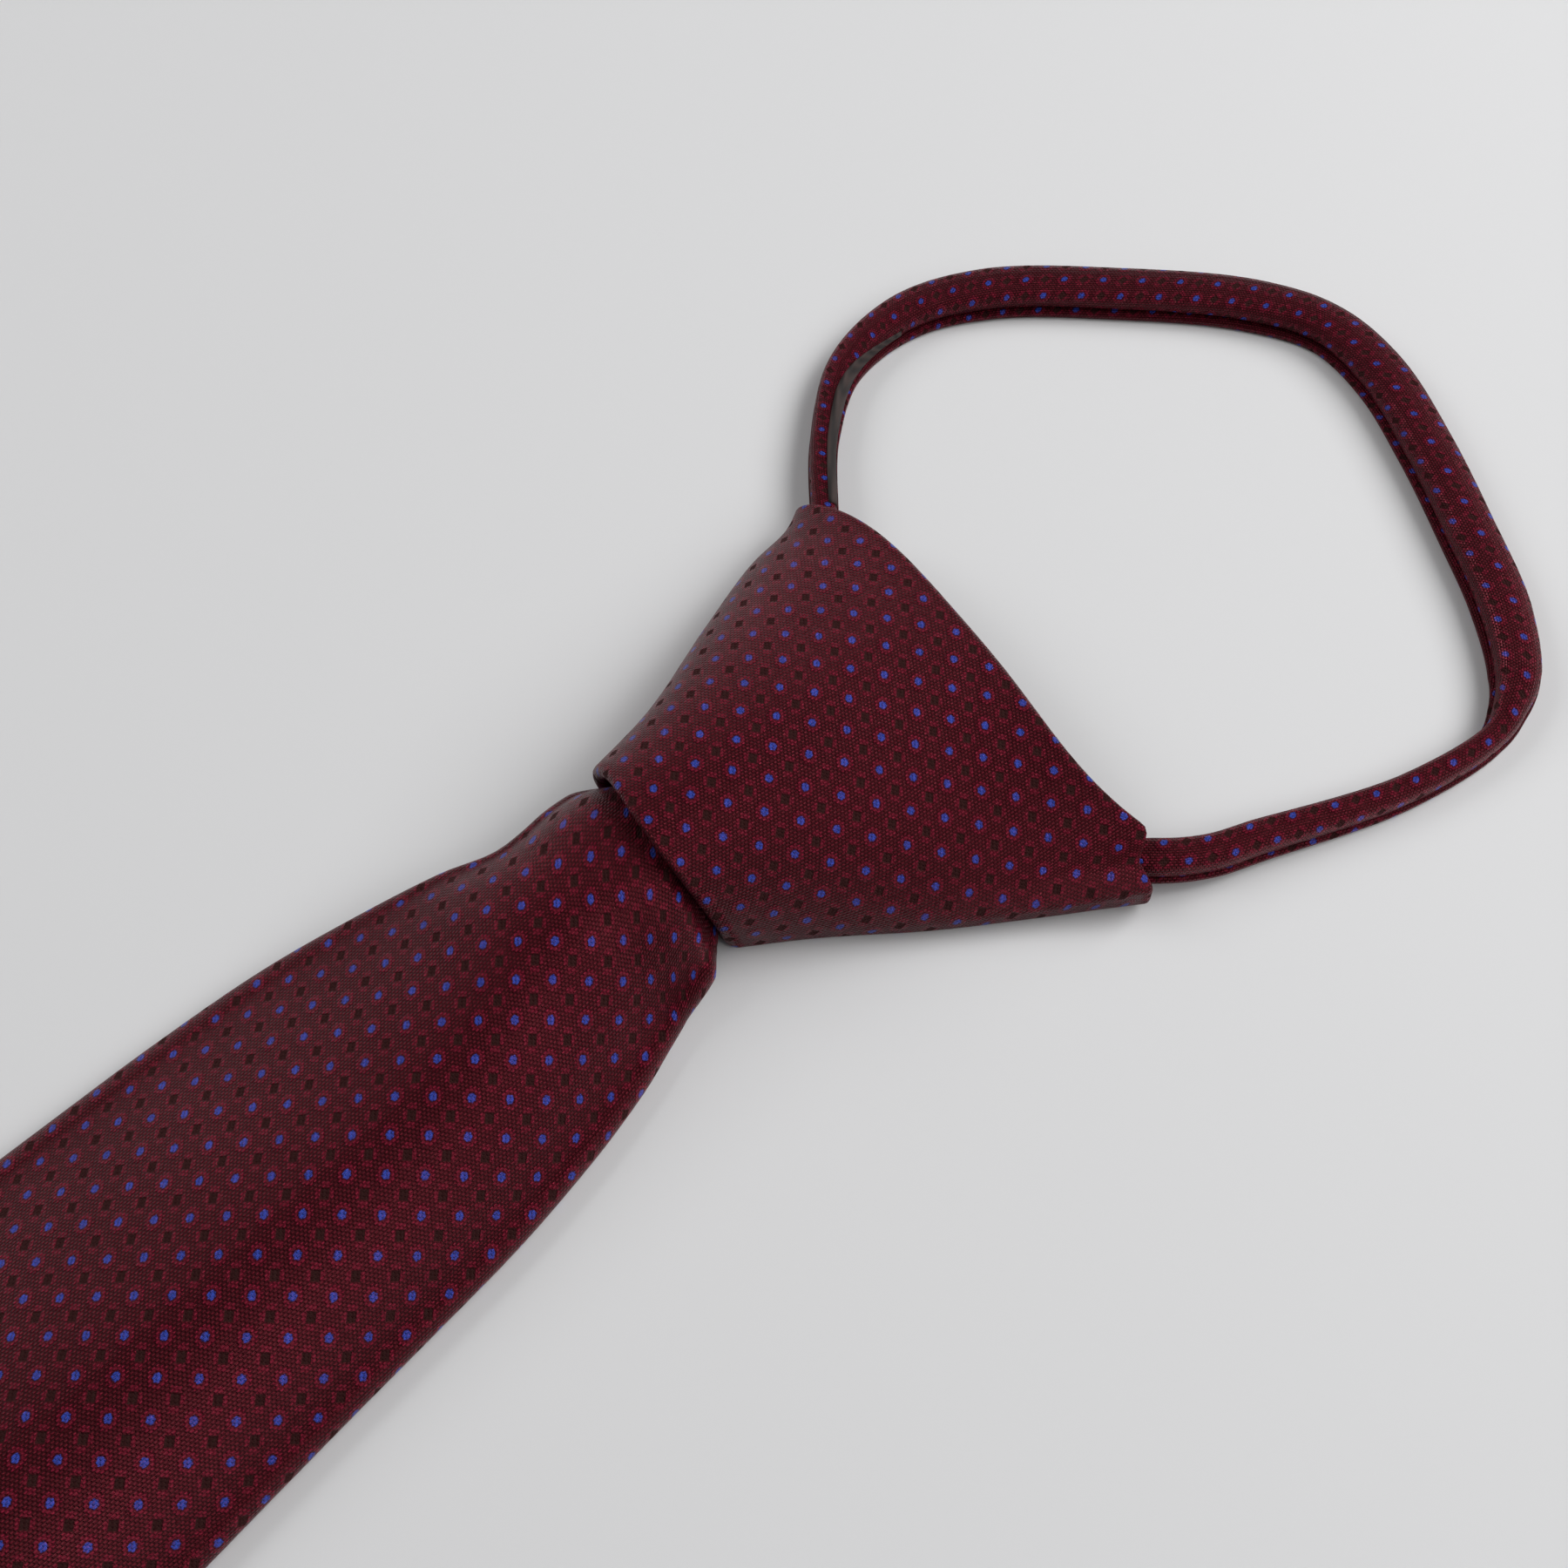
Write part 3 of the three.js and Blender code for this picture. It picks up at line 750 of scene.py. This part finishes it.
def zip_tape():
    """Polyester zip tape, plain woven: a grey-brown, dull, finely ribbed strip."""
    tree = new_material("woven_zip_tape").node_tree
    place = add(tree, "ShaderNodeTexCoord").outputs["Object"]
    ribs = add(
        tree,
        "ShaderNodeTexWave",
        {"Vector": place, "Scale": 500.0, "Distortion": 1.0, "Detail": 1.0},
        bands_direction="DIAGONAL",
    ).outputs["Fac"]
    colour = mixed(tree, ribs, (*linear("#1C1413"), 1), (*linear("#3A2C29"), 1))
    bump = add(tree, "ShaderNodeBump", {"Height": ribs, "Distance": 0.0001})
    principled(tree, {"Base Color": colour, "Roughness": 0.75, "Normal": bump.outputs[0]})


def moulded_nylon():
    """Nylon zip teeth, injection moulded: smooth dark plastic, faintly mottled."""
    tree = new_material("moulded_nylon").node_tree
    place = add(tree, "ShaderNodeTexCoord").outputs["Object"]
    mottle = add(tree, "ShaderNodeTexNoise", {"Vector": place, "Scale": 900.0}).outputs["Fac"]
    colour = mixed(tree, mottle, (*linear("#2A1518"), 1), (*linear("#3A2023"), 1))
    principled(tree, {"Base Color": colour, "Roughness": 0.4, "IOR": 1.53})


def plated_metal():
    """Zinc slider and pull, die cast and nickel plated: grey metal with a soft tumbled
    grain."""
    tree = new_material("plated_zip_metal").node_tree
    place = add(tree, "ShaderNodeTexCoord").outputs["Object"]
    grain = add(tree, "ShaderNodeTexNoise", {"Vector": place, "Scale": 1500.0, "Detail": 3.0})
    rough = remapped(tree, grain.outputs["Fac"], NOISE_RANGE, (0.28, 0.42))
    colour = (*linear("#A9A6A2"), 1)
    principled(tree, {"Base Color": colour, "Metallic": 1.0, "Roughness": rough})


# Settings


class TieCloth(PropertyGroup):
    """The cloth's repeat, threads and colours"""

    pitch: FloatProperty(
        name="Repeat",
        description="Distance between dots along one thread, in millimetres",
        default=3.8,
        min=1.0,
    )
    pitch_ratio: FloatProperty(
        name="Repeat ratio",
        description="Repeat along the other thread as a share of this one",
        default=1.04,
        min=0.5,
    )
    floats_across: IntProperty(
        name="Floats across",
        description="Floats in a repeat, across",
        default=8,
        min=2,
    )
    floats_along: IntProperty(
        name="Floats along",
        description="Rows of floats in a repeat",
        default=11,
        min=2,
    )
    slant: FloatProperty(
        name="Slant",
        description="How the rows of floats lean from the warp",
        default=math.radians(45),
        subtype="ANGLE",
    )
    float_gap: FloatProperty(
        name="Float gap",
        description="Gap between floats as a share of the repeat",
        default=0.038,
        min=0.0,
    )
    dot_size: FloatVectorProperty(
        name="Dot",
        description="Half sizes of a dot in repeats",
        size=2,
        default=(0.105, 0.125),
    )
    ring_size: FloatVectorProperty(
        name="Ring",
        description="Half sizes of a ring in repeats",
        size=2,
        default=(0.25, 0.30),
    )
    square_size: FloatVectorProperty(
        name="Square",
        description="Half sizes of a square in repeats",
        size=2,
        default=(0.115, 0.14),
    )
    gloss_roughness: FloatProperty(
        name="Roughness",
        description="Roughness of the satin floats",
        default=0.33,
        min=0.0,
        max=1.0,
        subtype="FACTOR",
    )
    ground: FloatVectorProperty(
        name="Ground",
        description="Colour between the floats",
        subtype="COLOR",
        default=linear("#120507"),
    )
    float_red: FloatVectorProperty(
        name="Float red",
        description="Colour of the floats",
        subtype="COLOR",
        default=linear("#6A1D29"),
    )
    crimson: FloatVectorProperty(
        name="Ring crimson",
        description="Colour of the rings",
        subtype="COLOR",
        default=linear("#92203A"),
    )
    blue: FloatVectorProperty(
        name="Dot blue",
        description="Colour of the dots",
        subtype="COLOR",
        default=linear("#2A52BA"),
    )
    black: FloatVectorProperty(
        name="Square black",
        description="Colour of the squares",
        subtype="COLOR",
        default=linear("#1E1D19"),
    )
    gloss: FloatVectorProperty(
        name="Gloss",
        description="Colour of the floats' gloss",
        subtype="COLOR",
        default=(1.0, 0.12, 0.18),
    )
    thickness: FloatProperty(
        name="Cloth thickness",
        description="Thickness of the folded cloth, in millimetres",
        default=0.8,
        min=0.2,
    )


class TieStage(PropertyGroup):
    """The surface, the lights and the camera"""

    floor: FloatVectorProperty(
        name="Surface",
        description="Colour of the surface",
        subtype="COLOR",
        default=linear("#E6E6E7"),
    )
    key_power: FloatProperty(
        name="Key light",
        description="Power of the key light",
        default=4.9,
        unit="POWER",
    )
    right_power: FloatProperty(
        name="Right light",
        description="Power of the right light",
        default=2.0,
        unit="POWER",
    )
    side_power: FloatProperty(
        name="Left light",
        description="Power of the left light",
        default=2.4,
        unit="POWER",
    )
    light_size: FloatProperty(
        name="Light size",
        description="Side of each light",
        default=0.5,
        unit="LENGTH",
    )
    fill: FloatProperty(
        name="Fill",
        description="Strength of the light all round",
        default=0.15,
        min=0.0,
    )


# Pieces


def blade_runs():
    """Distances of the blade's rows from the mouth, down to its tip."""
    point_start = BLADE_LENGTH - (BLADE_WIDTH / 2 - TIP_BLUNT)
    ends = [row[0] for row in BLADE_ROWS[1:]] + [point_start]
    rows = [np.arange(first, end, step) for (first, step), end in zip(BLADE_ROWS, ends)]
    rows.append(np.linspace(point_start, BLADE_LENGTH - TIP_BLUNT, POINT_ROWS))
    tip = np.sin(np.linspace(TIP_FIRST_TURN, math.pi / 2, TIP_ROWS))
    rows.append(BLADE_LENGTH - TIP_BLUNT * (1 - tip))
    return np.concatenate(rows)


def blade_grid():
    """The folded cloth of the blade, from its back seam round its left edge, over the face
    and round to the seam again, with its distances across and along."""
    runs = blade_runs()
    share = runs / BLADE_LENGTH
    outline = smooth_columns(BLADE_OUTLINE, share)
    relief = smooth_columns(BLADE_RELIEF, share)
    flanks = smooth_columns(BLADE_FLANKS, share)
    half = BLADE_WIDTH / 2
    point = TIP_BLUNT + BLADE_LENGTH - runs
    left = np.minimum(outline[:, 0] * half, point)[:, None]
    right = np.minimum(outline[:, 1] * half, point)[:, None]
    arch, over_zip, lift, shoulder = (relief[:, [i]] for i in range(4))
    ridge = flanks[:, [0]] * half
    fall_left, fall_right = flanks[:, [1]], flanks[:, [2]]
    base = lift * INSIDE_LIFT
    arch_height = over_zip * (ZIP_THICKNESS + FIT_GAP) + arch * BLADE_ARCH
    crown = BLADE_CROWN * np.minimum(1, np.minimum(left, right) / half)

    def face(t, side):
        """Places across and heights of the upper or lower face, from its left edge."""
        x = -left + (left + right) * (1 - np.cos(math.pi * t)) / 2
        on_left = x < ridge
        reach = np.where(on_left, left + ridge, right - ridge)
        fall = np.where(on_left, fall_left, fall_right)
        out = np.minimum(1, np.abs(x - ridge) / reach)
        inward = np.minimum(1, out / (1 - EDGE_ROLL))
        into_roll = np.maximum(0, (out - 1) / EDGE_ROLL + 1)
        roll = np.sqrt(np.maximum(0, 1 - into_roll**2))
        raised = np.where(on_left, shoulder * BLADE_ARCH * inward**SHOULDER_POWER, 0)
        middle = base + raised + arch_height * (1 - inward**fall) + BLADE_THICKNESS / 2
        padding = crown * (1 - out**2) if side > 0 else 0
        return x, middle + side * roll * BLADE_THICKNESS / 2 + padding

    over = np.linspace(0, 1, 2 * BLADE_FACE + 1)
    top_x, top_z = face(over[None, :], 1)
    back = np.linspace(SEAM_LAP, 0, BACK_COLUMNS)[None, :]
    left_x, left_z = face(back, -1)
    right_x, right_z = face(1 - back[:, ::-1], -1)
    lapped = np.linspace(1, 0, BACK_COLUMNS)[None, ::-1] ** SEAM_POWER
    right_z = right_z + SEAM_RISE * lapped
    x = np.concatenate([left_x[:, :-1], top_x, right_x[:, 1:]], axis=1)
    z = np.concatenate([left_z[:, :-1], top_z, right_z[:, 1:]], axis=1)
    to_tip = np.clip((runs[:, None] - BLADE_LENGTH) / TIP_BLUNT + 1, 0, 1)
    closed = np.sqrt(1 - to_tip**2)
    z = BLADE_THICKNESS / 2 + (z - BLADE_THICKNESS / 2) * np.where(to_tip > 0, closed, 1)
    points = run_points(-runs[:, None] + 0 * x, x, np.maximum(z, TABLE_CLEAR))
    across = arc_lengths(points, 1, FACE_MIDDLE)
    return points, across, BLADE_TUCK - arc_lengths(points, 0, 0)


class TIE_OT_blade(Operator):
    """Builds the blade's folded cloth"""

    bl_idname = "tie.blade"
    bl_label = "Blade"

    def execute(self, context):
        points, across, along = blade_grid()
        middle = along[:, [FACE_MIDDLE]] + 0 * across
        slip = WEAVE_DRIFT * np.clip(-middle, 0, DRIFT_END) ** 2
        slip = slip + 2 * WEAVE_DRIFT * DRIFT_END * np.maximum(0, -middle - DRIFT_END)
        weave = turned(across + slip, middle, *BLADE_WEAVE)
        cloth = bpy.data.materials["woven_jacquard_satin"]
        piece = grid_piece("blade_cloth", points, weave, cloth)
        thicken(piece, context.scene.tie_cloth.thickness)
        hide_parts("blade")
        return {"FINISHED"}


def hem_profile():
    """Places along the knot, as shares of its length, and depths below its face, from inside
    the mouth, round its hem, up the face, round the collar's hem and back inside."""
    radius = HEM / 2
    curl = radius / KNOT_LENGTH
    turn = np.linspace(0, math.pi, HEM_TURN_ROWS)
    rolled = curl * (1 - np.sin(turn))
    inside = np.linspace(HEM_DEPTH, curl, HEM_INSIDE_ROWS)
    face = np.linspace(curl, 1 - curl, KNOT_ROWS)
    along = [inside, rolled, face, 1 - rolled, 1 - inside[::-1]]
    depth = [
        np.full(HEM_INSIDE_ROWS, HEM),
        radius * (1 + np.cos(turn)),
        np.zeros(KNOT_ROWS),
        radius * (1 - np.cos(turn)),
        np.full(HEM_INSIDE_ROWS, HEM),
    ]
    return np.concatenate(along), np.concatenate(depth)[:, None]


def knot_grid():
    """The knot's cloth, from the middle of its back round its left side and over its face,
    with its hems turned in at the mouth and the collar, and its distances across and along."""
    along, inset = hem_profile()
    values = smooth_columns(KNOT_SECTIONS, along)
    left, right, depth, crown, roll_left, roll_right, full_left, full_right = (
        values[:, [i]] for i in range(8)
    )
    half = KNOT_WIDTH / 2
    crown = crown * KNOT_WIDTH
    height = depth * KNOT_DEPTH
    angle = np.linspace(-0.5 * math.pi, -2.5 * math.pi, 2 * KNOT_FACE + 1)[None, :]
    across, rise = np.cos(angle), np.sin(angle)
    on_right = across >= 0
    reach = np.where(on_right, right * half - crown, left * half + crown) - inset
    roll = np.where(on_right, roll_right, roll_left) * KNOT_DEPTH
    fullness = np.where(rise < 0, BASE_FULLNESS, np.where(on_right, full_right, full_left))
    x = crown + np.sign(across) * reach * np.abs(across) ** (2 / fullness)
    span = np.where(rise < 0, roll, height - roll) - inset
    z = roll + np.sign(rise) * span * np.abs(rise) ** (2 / fullness)

    mouth_bow = MOUTH_BOW * (1 - (x / (left * half)) ** 2)
    corner = MOUTH_CORNER * np.maximum(0, -x / (left * half)) ** CORNER_POWER
    lean = MOUTH_LEAN * (1 - z / KNOT_DEPTH)
    mouth = (1 - along[:, None]) * (lean - mouth_bow - corner)
    cut = COLLAR_CUT * np.maximum(0, -x / half) ** CORNER_POWER
    flap = COLLAR_FLAP * smoothstep(*FLAP_RISE, rise) * np.maximum(0, x / half) ** CORNER_POWER
    from_bow = (x / half - COLLAR_BOW_MIDDLE) / COLLAR_BOW_SPREAD
    collar_bow = COLLAR_BOW * np.exp(-(from_bow**2))
    v = along[:, None] * (KNOT_LENGTH + flap - cut + collar_bow) + mouth
    points = knot_points(x, v, z)
    first = int(np.argmax(inset[:, 0] == 0))
    run = arc_lengths(points, 0, first)[:, [KNOT_FACE]] + v - v[:, [KNOT_FACE]]
    return points, arc_lengths(points, 1, KNOT_FACE), run


class TIE_OT_knot(Operator):
    """Builds the knot's wrapped cloth"""

    bl_idname = "tie.knot"
    bl_label = "Knot"

    def execute(self, context):
        points, across, along = knot_grid()
        weave = turned(across, along, *KNOT_WEAVE)
        cloth = bpy.data.materials["woven_jacquard_satin"]
        piece = grid_piece("knot_cloth", points, weave, cloth, flip=True)
        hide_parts("knot_wrap")
        return {"FINISHED"}


def band_frame(steps):
    """Stations of the neck band as rows of its route, with its middle line, sideways
    direction, width and thickness at each."""
    table = np.array(BAND_ROUTE)
    route = knot_points(
        table[:, 0] * LOOP_WIDTH,
        KNOT_LENGTH + table[:, 1] * LOOP_LENGTH,
        table[:, 4] * INSIDE_LIFT,
    )
    middle, at = centripetal(route, steps)
    middle[:, 2] = np.maximum(0, middle[:, 2])
    forward = np.gradient(middle, axis=0)
    forward[:, 2] = 0
    forward /= np.linalg.norm(forward, axis=1, keepdims=True)
    sideways = np.cross([0, 0, 1], forward)
    wide = BAND_WIDTH * np.interp(at, np.arange(len(table)), table[:, 2])
    thick = BAND_THICKNESS * np.interp(at, np.arange(len(table)), table[:, 3])
    return at, middle, sideways, wide, thick


def band_section():
    """The whole section of the band, from the middle of its base round by its left edge."""
    half = np.array(BAND_HALF)
    left = half * (-1, 1, 1)
    return np.concatenate([left, half[-2::-1]])


def band_points(section, middle, sideways, wide, thick):
    """Section points at each station of the band's route."""
    across = section[..., 0] * wide[:, None]
    across = across - np.sign(section[..., 0]) * section[..., 2] * GROOVE_DEPTH
    points = middle[:, None, :] - sideways[:, None, :] * across[..., None]
    points[..., 2] += section[..., 1] * thick[:, None]
    return points


def band_weave(points):
    """Cloth coordinates of the band, from its middle line over the top of its section."""
    top = len(BAND_HALF) - 1
    around = arc_lengths(points, 1, top)
    cloth_run = smooth_columns(BAND_CLOTH, arc_lengths(points, 0, 0)[:, top])
    u = cloth_run[:, [0]] + BAND_CROSS[0] * around
    v = cloth_run[:, [1]] + BAND_CROSS[1] * around
    return np.stack([u, v, 0 * u], axis=-1)


def tape_strip(at, middle, sideways, wide, thick):
    """Points of the zip tape over the inside edge of the band's left arm."""
    start, end = TAPE_ENDS
    held = (at >= start) & (at <= end)
    run = (at[held] - start) / (end - start)
    low, high = TAPE_ROWS
    reach = (high - low) * (1 - TAPE_TAPER * smoothstep(TAPER_START, 1, run))[:, None]
    place = low + reach * np.linspace(0, 1, TAPE_COLUMNS)[None, :]
    half = np.array(BAND_HALF)
    rows = np.arange(len(half))
    side = np.interp(place, rows, half[:, 0])
    rise = np.interp(place, rows, half[:, 1])
    edge = np.stack([side, rise, 0 * rise], axis=-1)
    strip = band_points(edge, middle[held], sideways[held], wide[held], thick[held])
    strip -= sideways[held][:, None, :] * TAPE_CLEAR
    strip[..., 2] += TAPE_CLEAR
    return strip


class TIE_OT_band(Operator):
    """Builds the neck band's cloth tube and the zip tape along the inside of its left arm"""

    bl_idname = "tie.band"
    bl_label = "Neck band"

    def execute(self, context):
        at, *lay = band_frame(BAND_STATIONS)
        points = band_points(band_section()[None], *lay)
        cloth = bpy.data.materials["woven_jacquard_satin"]
        piece = grid_piece(
            "band_cloth", points, band_weave(points), cloth, flip=True
        )
        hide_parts("neck_band")

        tape = bpy.data.materials["woven_zip_tape"]
        piece = grid_piece("band_tape", tape_strip(at, *lay), None, tape)
        thicken(piece, TAPE_THICKNESS)
        return {"FINISHED"}


def build_zip_tapes(material, slider_end):
    """Both tapes of the closed zip, from the slider down to the stop."""
    in_neck = np.linspace(slider_end, -TURN_LENGTH, ZIP_NECK_ROWS)
    below = np.linspace(-TURN_LENGTH, -ZIP_LENGTH, ZIP_ROWS)[1:]
    runs = np.concatenate([in_neck, below])
    wide = np.interp(runs, ZIP_NECK, ZIP_WIDTHS)[:, None]
    level = INSIDE_LIFT * np.interp(runs, ZIP_NECK, [0, 1])[:, None]
    for name, side in (("zip_tape_left", -1), ("zip_tape_right", 1)):
        share = np.linspace(*ZIP_TAPE_EDGES, ZIP_TAPE_COLUMNS)[None, ::side]
        x = side * share * wide
        points = run_points(runs[:, None] + 0 * x, x, level + ZIP_LEVEL + 0 * x)
        piece = grid_piece(name, points, None, material, flip=True)
        thicken(piece, TAPE_THICKNESS)
        if side < 0:
            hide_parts("zip_closure")


def build_zip_teeth(material, slider_end):
    """Teeth of the closed zip, by turns to its left and its right."""
    places = []
    runs = np.arange(slider_end - TEETH_CLEAR, -ZIP_LENGTH + TEETH_CLEAR, -TOOTH_PITCH)
    for k, run in enumerate(runs):
        side = 1 if k % 2 else -1
        x = np.array([side * TOOTH_SHIFT])
        spot = run_points(np.array([run]), x, np.array([0.0]))[0]
        lift = INSIDE_LIFT * np.interp(run, ZIP_NECK, [0, 1])
        turn = -KNOT_TURN * float(smoothstep(-TURN_LENGTH, 0, run))
        places.append((spot[0], spot[1], lift + ZIP_LEVEL, turn))
    outline_piece("zip_teeth", rounded(*TOOTH), TOOTH_LEVELS, TOOTH_BEVEL, material, places)


def build_zip_metal(material):
    """The slider inside the knot, and the pull and the stop at the zip's lower end."""
    run = np.array([ZIP_TOP - SLIDER_LENGTH / 2])
    middle = run_points(run, np.zeros(1), np.zeros(1))[0]
    spot = (middle[0], middle[1], INSIDE_LIFT, -KNOT_TURN)
    for name, size, levels, bevel in SLIDER_SOLIDS:
        outline_piece(name, rounded(*size), levels, bevel, material, [spot])
    for name, size, levels, bevel, below in END_SOLIDS:
        spot = (0, -ZIP_LENGTH - below, ZIP_LEVEL - END_DROP, 0)
        outline_piece(name, rounded(*size), levels, bevel, material, [spot])


class TIE_OT_zip(Operator):
    """Builds the closed zip: two tapes, their teeth, the slider in the knot and the pull"""

    bl_idname = "tie.zip"
    bl_label = "Zip"

    def execute(self, context):
        materials = bpy.data.materials
        slider_end = ZIP_TOP - SLIDER_LENGTH
        build_zip_tapes(materials["woven_zip_tape"], slider_end)
        build_zip_teeth(materials["moulded_nylon"], slider_end)
        build_zip_metal(materials["plated_zip_metal"])
        return {"FINISHED"}


def build_surface(colour):
    """The matt surface that the tie lies on."""
    material = new_material("matt_pale_card")
    principled(material.node_tree, {"Base Color": (*colour, 1), "Roughness": 0.85})
    mesh = bpy.data.meshes.new("surface")
    corners = [(-1, -1, 0), (1, -1, 0), (1, 1, 0), (-1, 1, 0)]
    corners = [(x * SURFACE_HALF, y * SURFACE_HALF, z) for x, y, z in corners]
    mesh.from_pydata(corners, [], [(0, 1, 2, 3)])
    mesh.materials.append(material)
    floor = bpy.data.objects.new("surface", mesh)
    bpy.context.collection.objects.link(floor)


def build_room(fill):
    """Light all round, dimmer at the height of the surface than overhead."""
    world = bpy.data.worlds.new("studio")
    world.use_nodes = True
    room = world.node_tree
    room.nodes.clear()
    way = add(room, "ShaderNodeTexCoord").outputs["Generated"]
    up = add(room, "ShaderNodeSeparateXYZ", {0: way}).outputs["Z"]
    level = remapped(room, up, (0.0, 1.0), (HORIZON_SHARE * fill, fill))
    glow = add(room, "ShaderNodeBackground", {"Color": (1, 1, 1, 1), "Strength": level})
    add(room, "ShaderNodeOutputWorld", {"Surface": glow.outputs[0]})
    bpy.context.scene.world = world


def build_lights(stage, mouth):
    """Three square lights that face the mouth."""
    for name, direction, power in (
        ("key", KEY_DIRECTION, stage.key_power),
        ("right", RIGHT_DIRECTION, stage.right_power),
        ("side", SIDE_DIRECTION, stage.side_power),
    ):
        light = bpy.data.lights.new(name, "AREA")
        light.shape = "SQUARE"
        light.size = stage.light_size
        light.energy = power
        lamp = bpy.data.objects.new(name, light)
        way = Vector(direction).normalized()
        lamp.location = mouth + way * LIGHT_DISTANCE
        lamp.rotation_mode = "QUATERNION"
        lamp.rotation_quaternion = way.to_track_quat("Z", "Y")
        bpy.context.collection.objects.link(lamp)


def build_camera(mouth):
    """The photo's camera."""
    camera = bpy.data.cameras.new("camera")
    camera.lens = CAMERA_LENS
    camera.sensor_width = CAMERA_SENSOR
    camera.clip_start, camera.clip_end = CAMERA_CLIP
    eye = bpy.data.objects.new("camera", camera)
    right, up = Vector(CAMERA_RIGHT), Vector(CAMERA_UP)
    facing = Matrix((right, up, right.cross(up))).transposed().to_4x4()
    eye.matrix_world = Matrix.Translation(mouth + Vector(CAMERA_OFFSET) * MM) @ facing
    bpy.context.collection.objects.link(eye)
    bpy.context.scene.camera = eye


class TIE_OT_stage(Operator):
    """Makes the surface, the lights and the camera"""

    bl_idname = "tie.stage"
    bl_label = "Stage"

    def execute(self, context):
        stage = context.scene.tie_stage
        mouth = Vector((MOUTH[0], MOUTH[1], 0)) * MM
        build_surface(stage.floor)
        build_room(stage.fill)
        build_lights(stage, mouth)
        build_camera(mouth)
        context.scene.view_settings.view_transform = "Standard"
        return {"FINISHED"}


class TIE_PT_panel(Panel):
    """The tie's settings and the pieces it is made of"""

    bl_idname = "TIE_PT_panel"
    bl_label = "Zipper Tie"
    bl_space_type = "VIEW_3D"
    bl_region_type = "UI"
    bl_category = "Tie"

    def draw(self, context):
        layout = self.layout
        for group in (context.scene.tie_cloth, context.scene.tie_stage):
            box = layout.box()
            for name in group.__annotations__:
                box.prop(group, name)
        for operator in (TIE_OT_blade, TIE_OT_knot, TIE_OT_band, TIE_OT_zip, TIE_OT_stage):
            layout.operator(operator.bl_idname)


CLASSES = (
    TieCloth,
    TieStage,
    TIE_OT_blade,
    TIE_OT_knot,
    TIE_OT_band,
    TIE_OT_zip,
    TIE_OT_stage,
    TIE_PT_panel,
)


def register():
    for cls in CLASSES:
        bpy.utils.register_class(cls)
    bpy.types.Scene.tie_cloth = PointerProperty(type=TieCloth)
    bpy.types.Scene.tie_stage = PointerProperty(type=TieStage)


def unregister():
    del bpy.types.Scene.tie_stage
    del bpy.types.Scene.tie_cloth
    for cls in reversed(CLASSES):
        bpy.utils.unregister_class(cls)


def main():
    register()
    jacquard_satin(bpy.context.scene.tie_cloth)
    zip_tape()
    moulded_nylon()
    plated_metal()
    bpy.ops.tie.blade()
    bpy.ops.tie.knot()
    bpy.ops.tie.band()
    bpy.ops.tie.zip()
    bpy.ops.tie.stage()


if __name__ == "__main__":
    main()
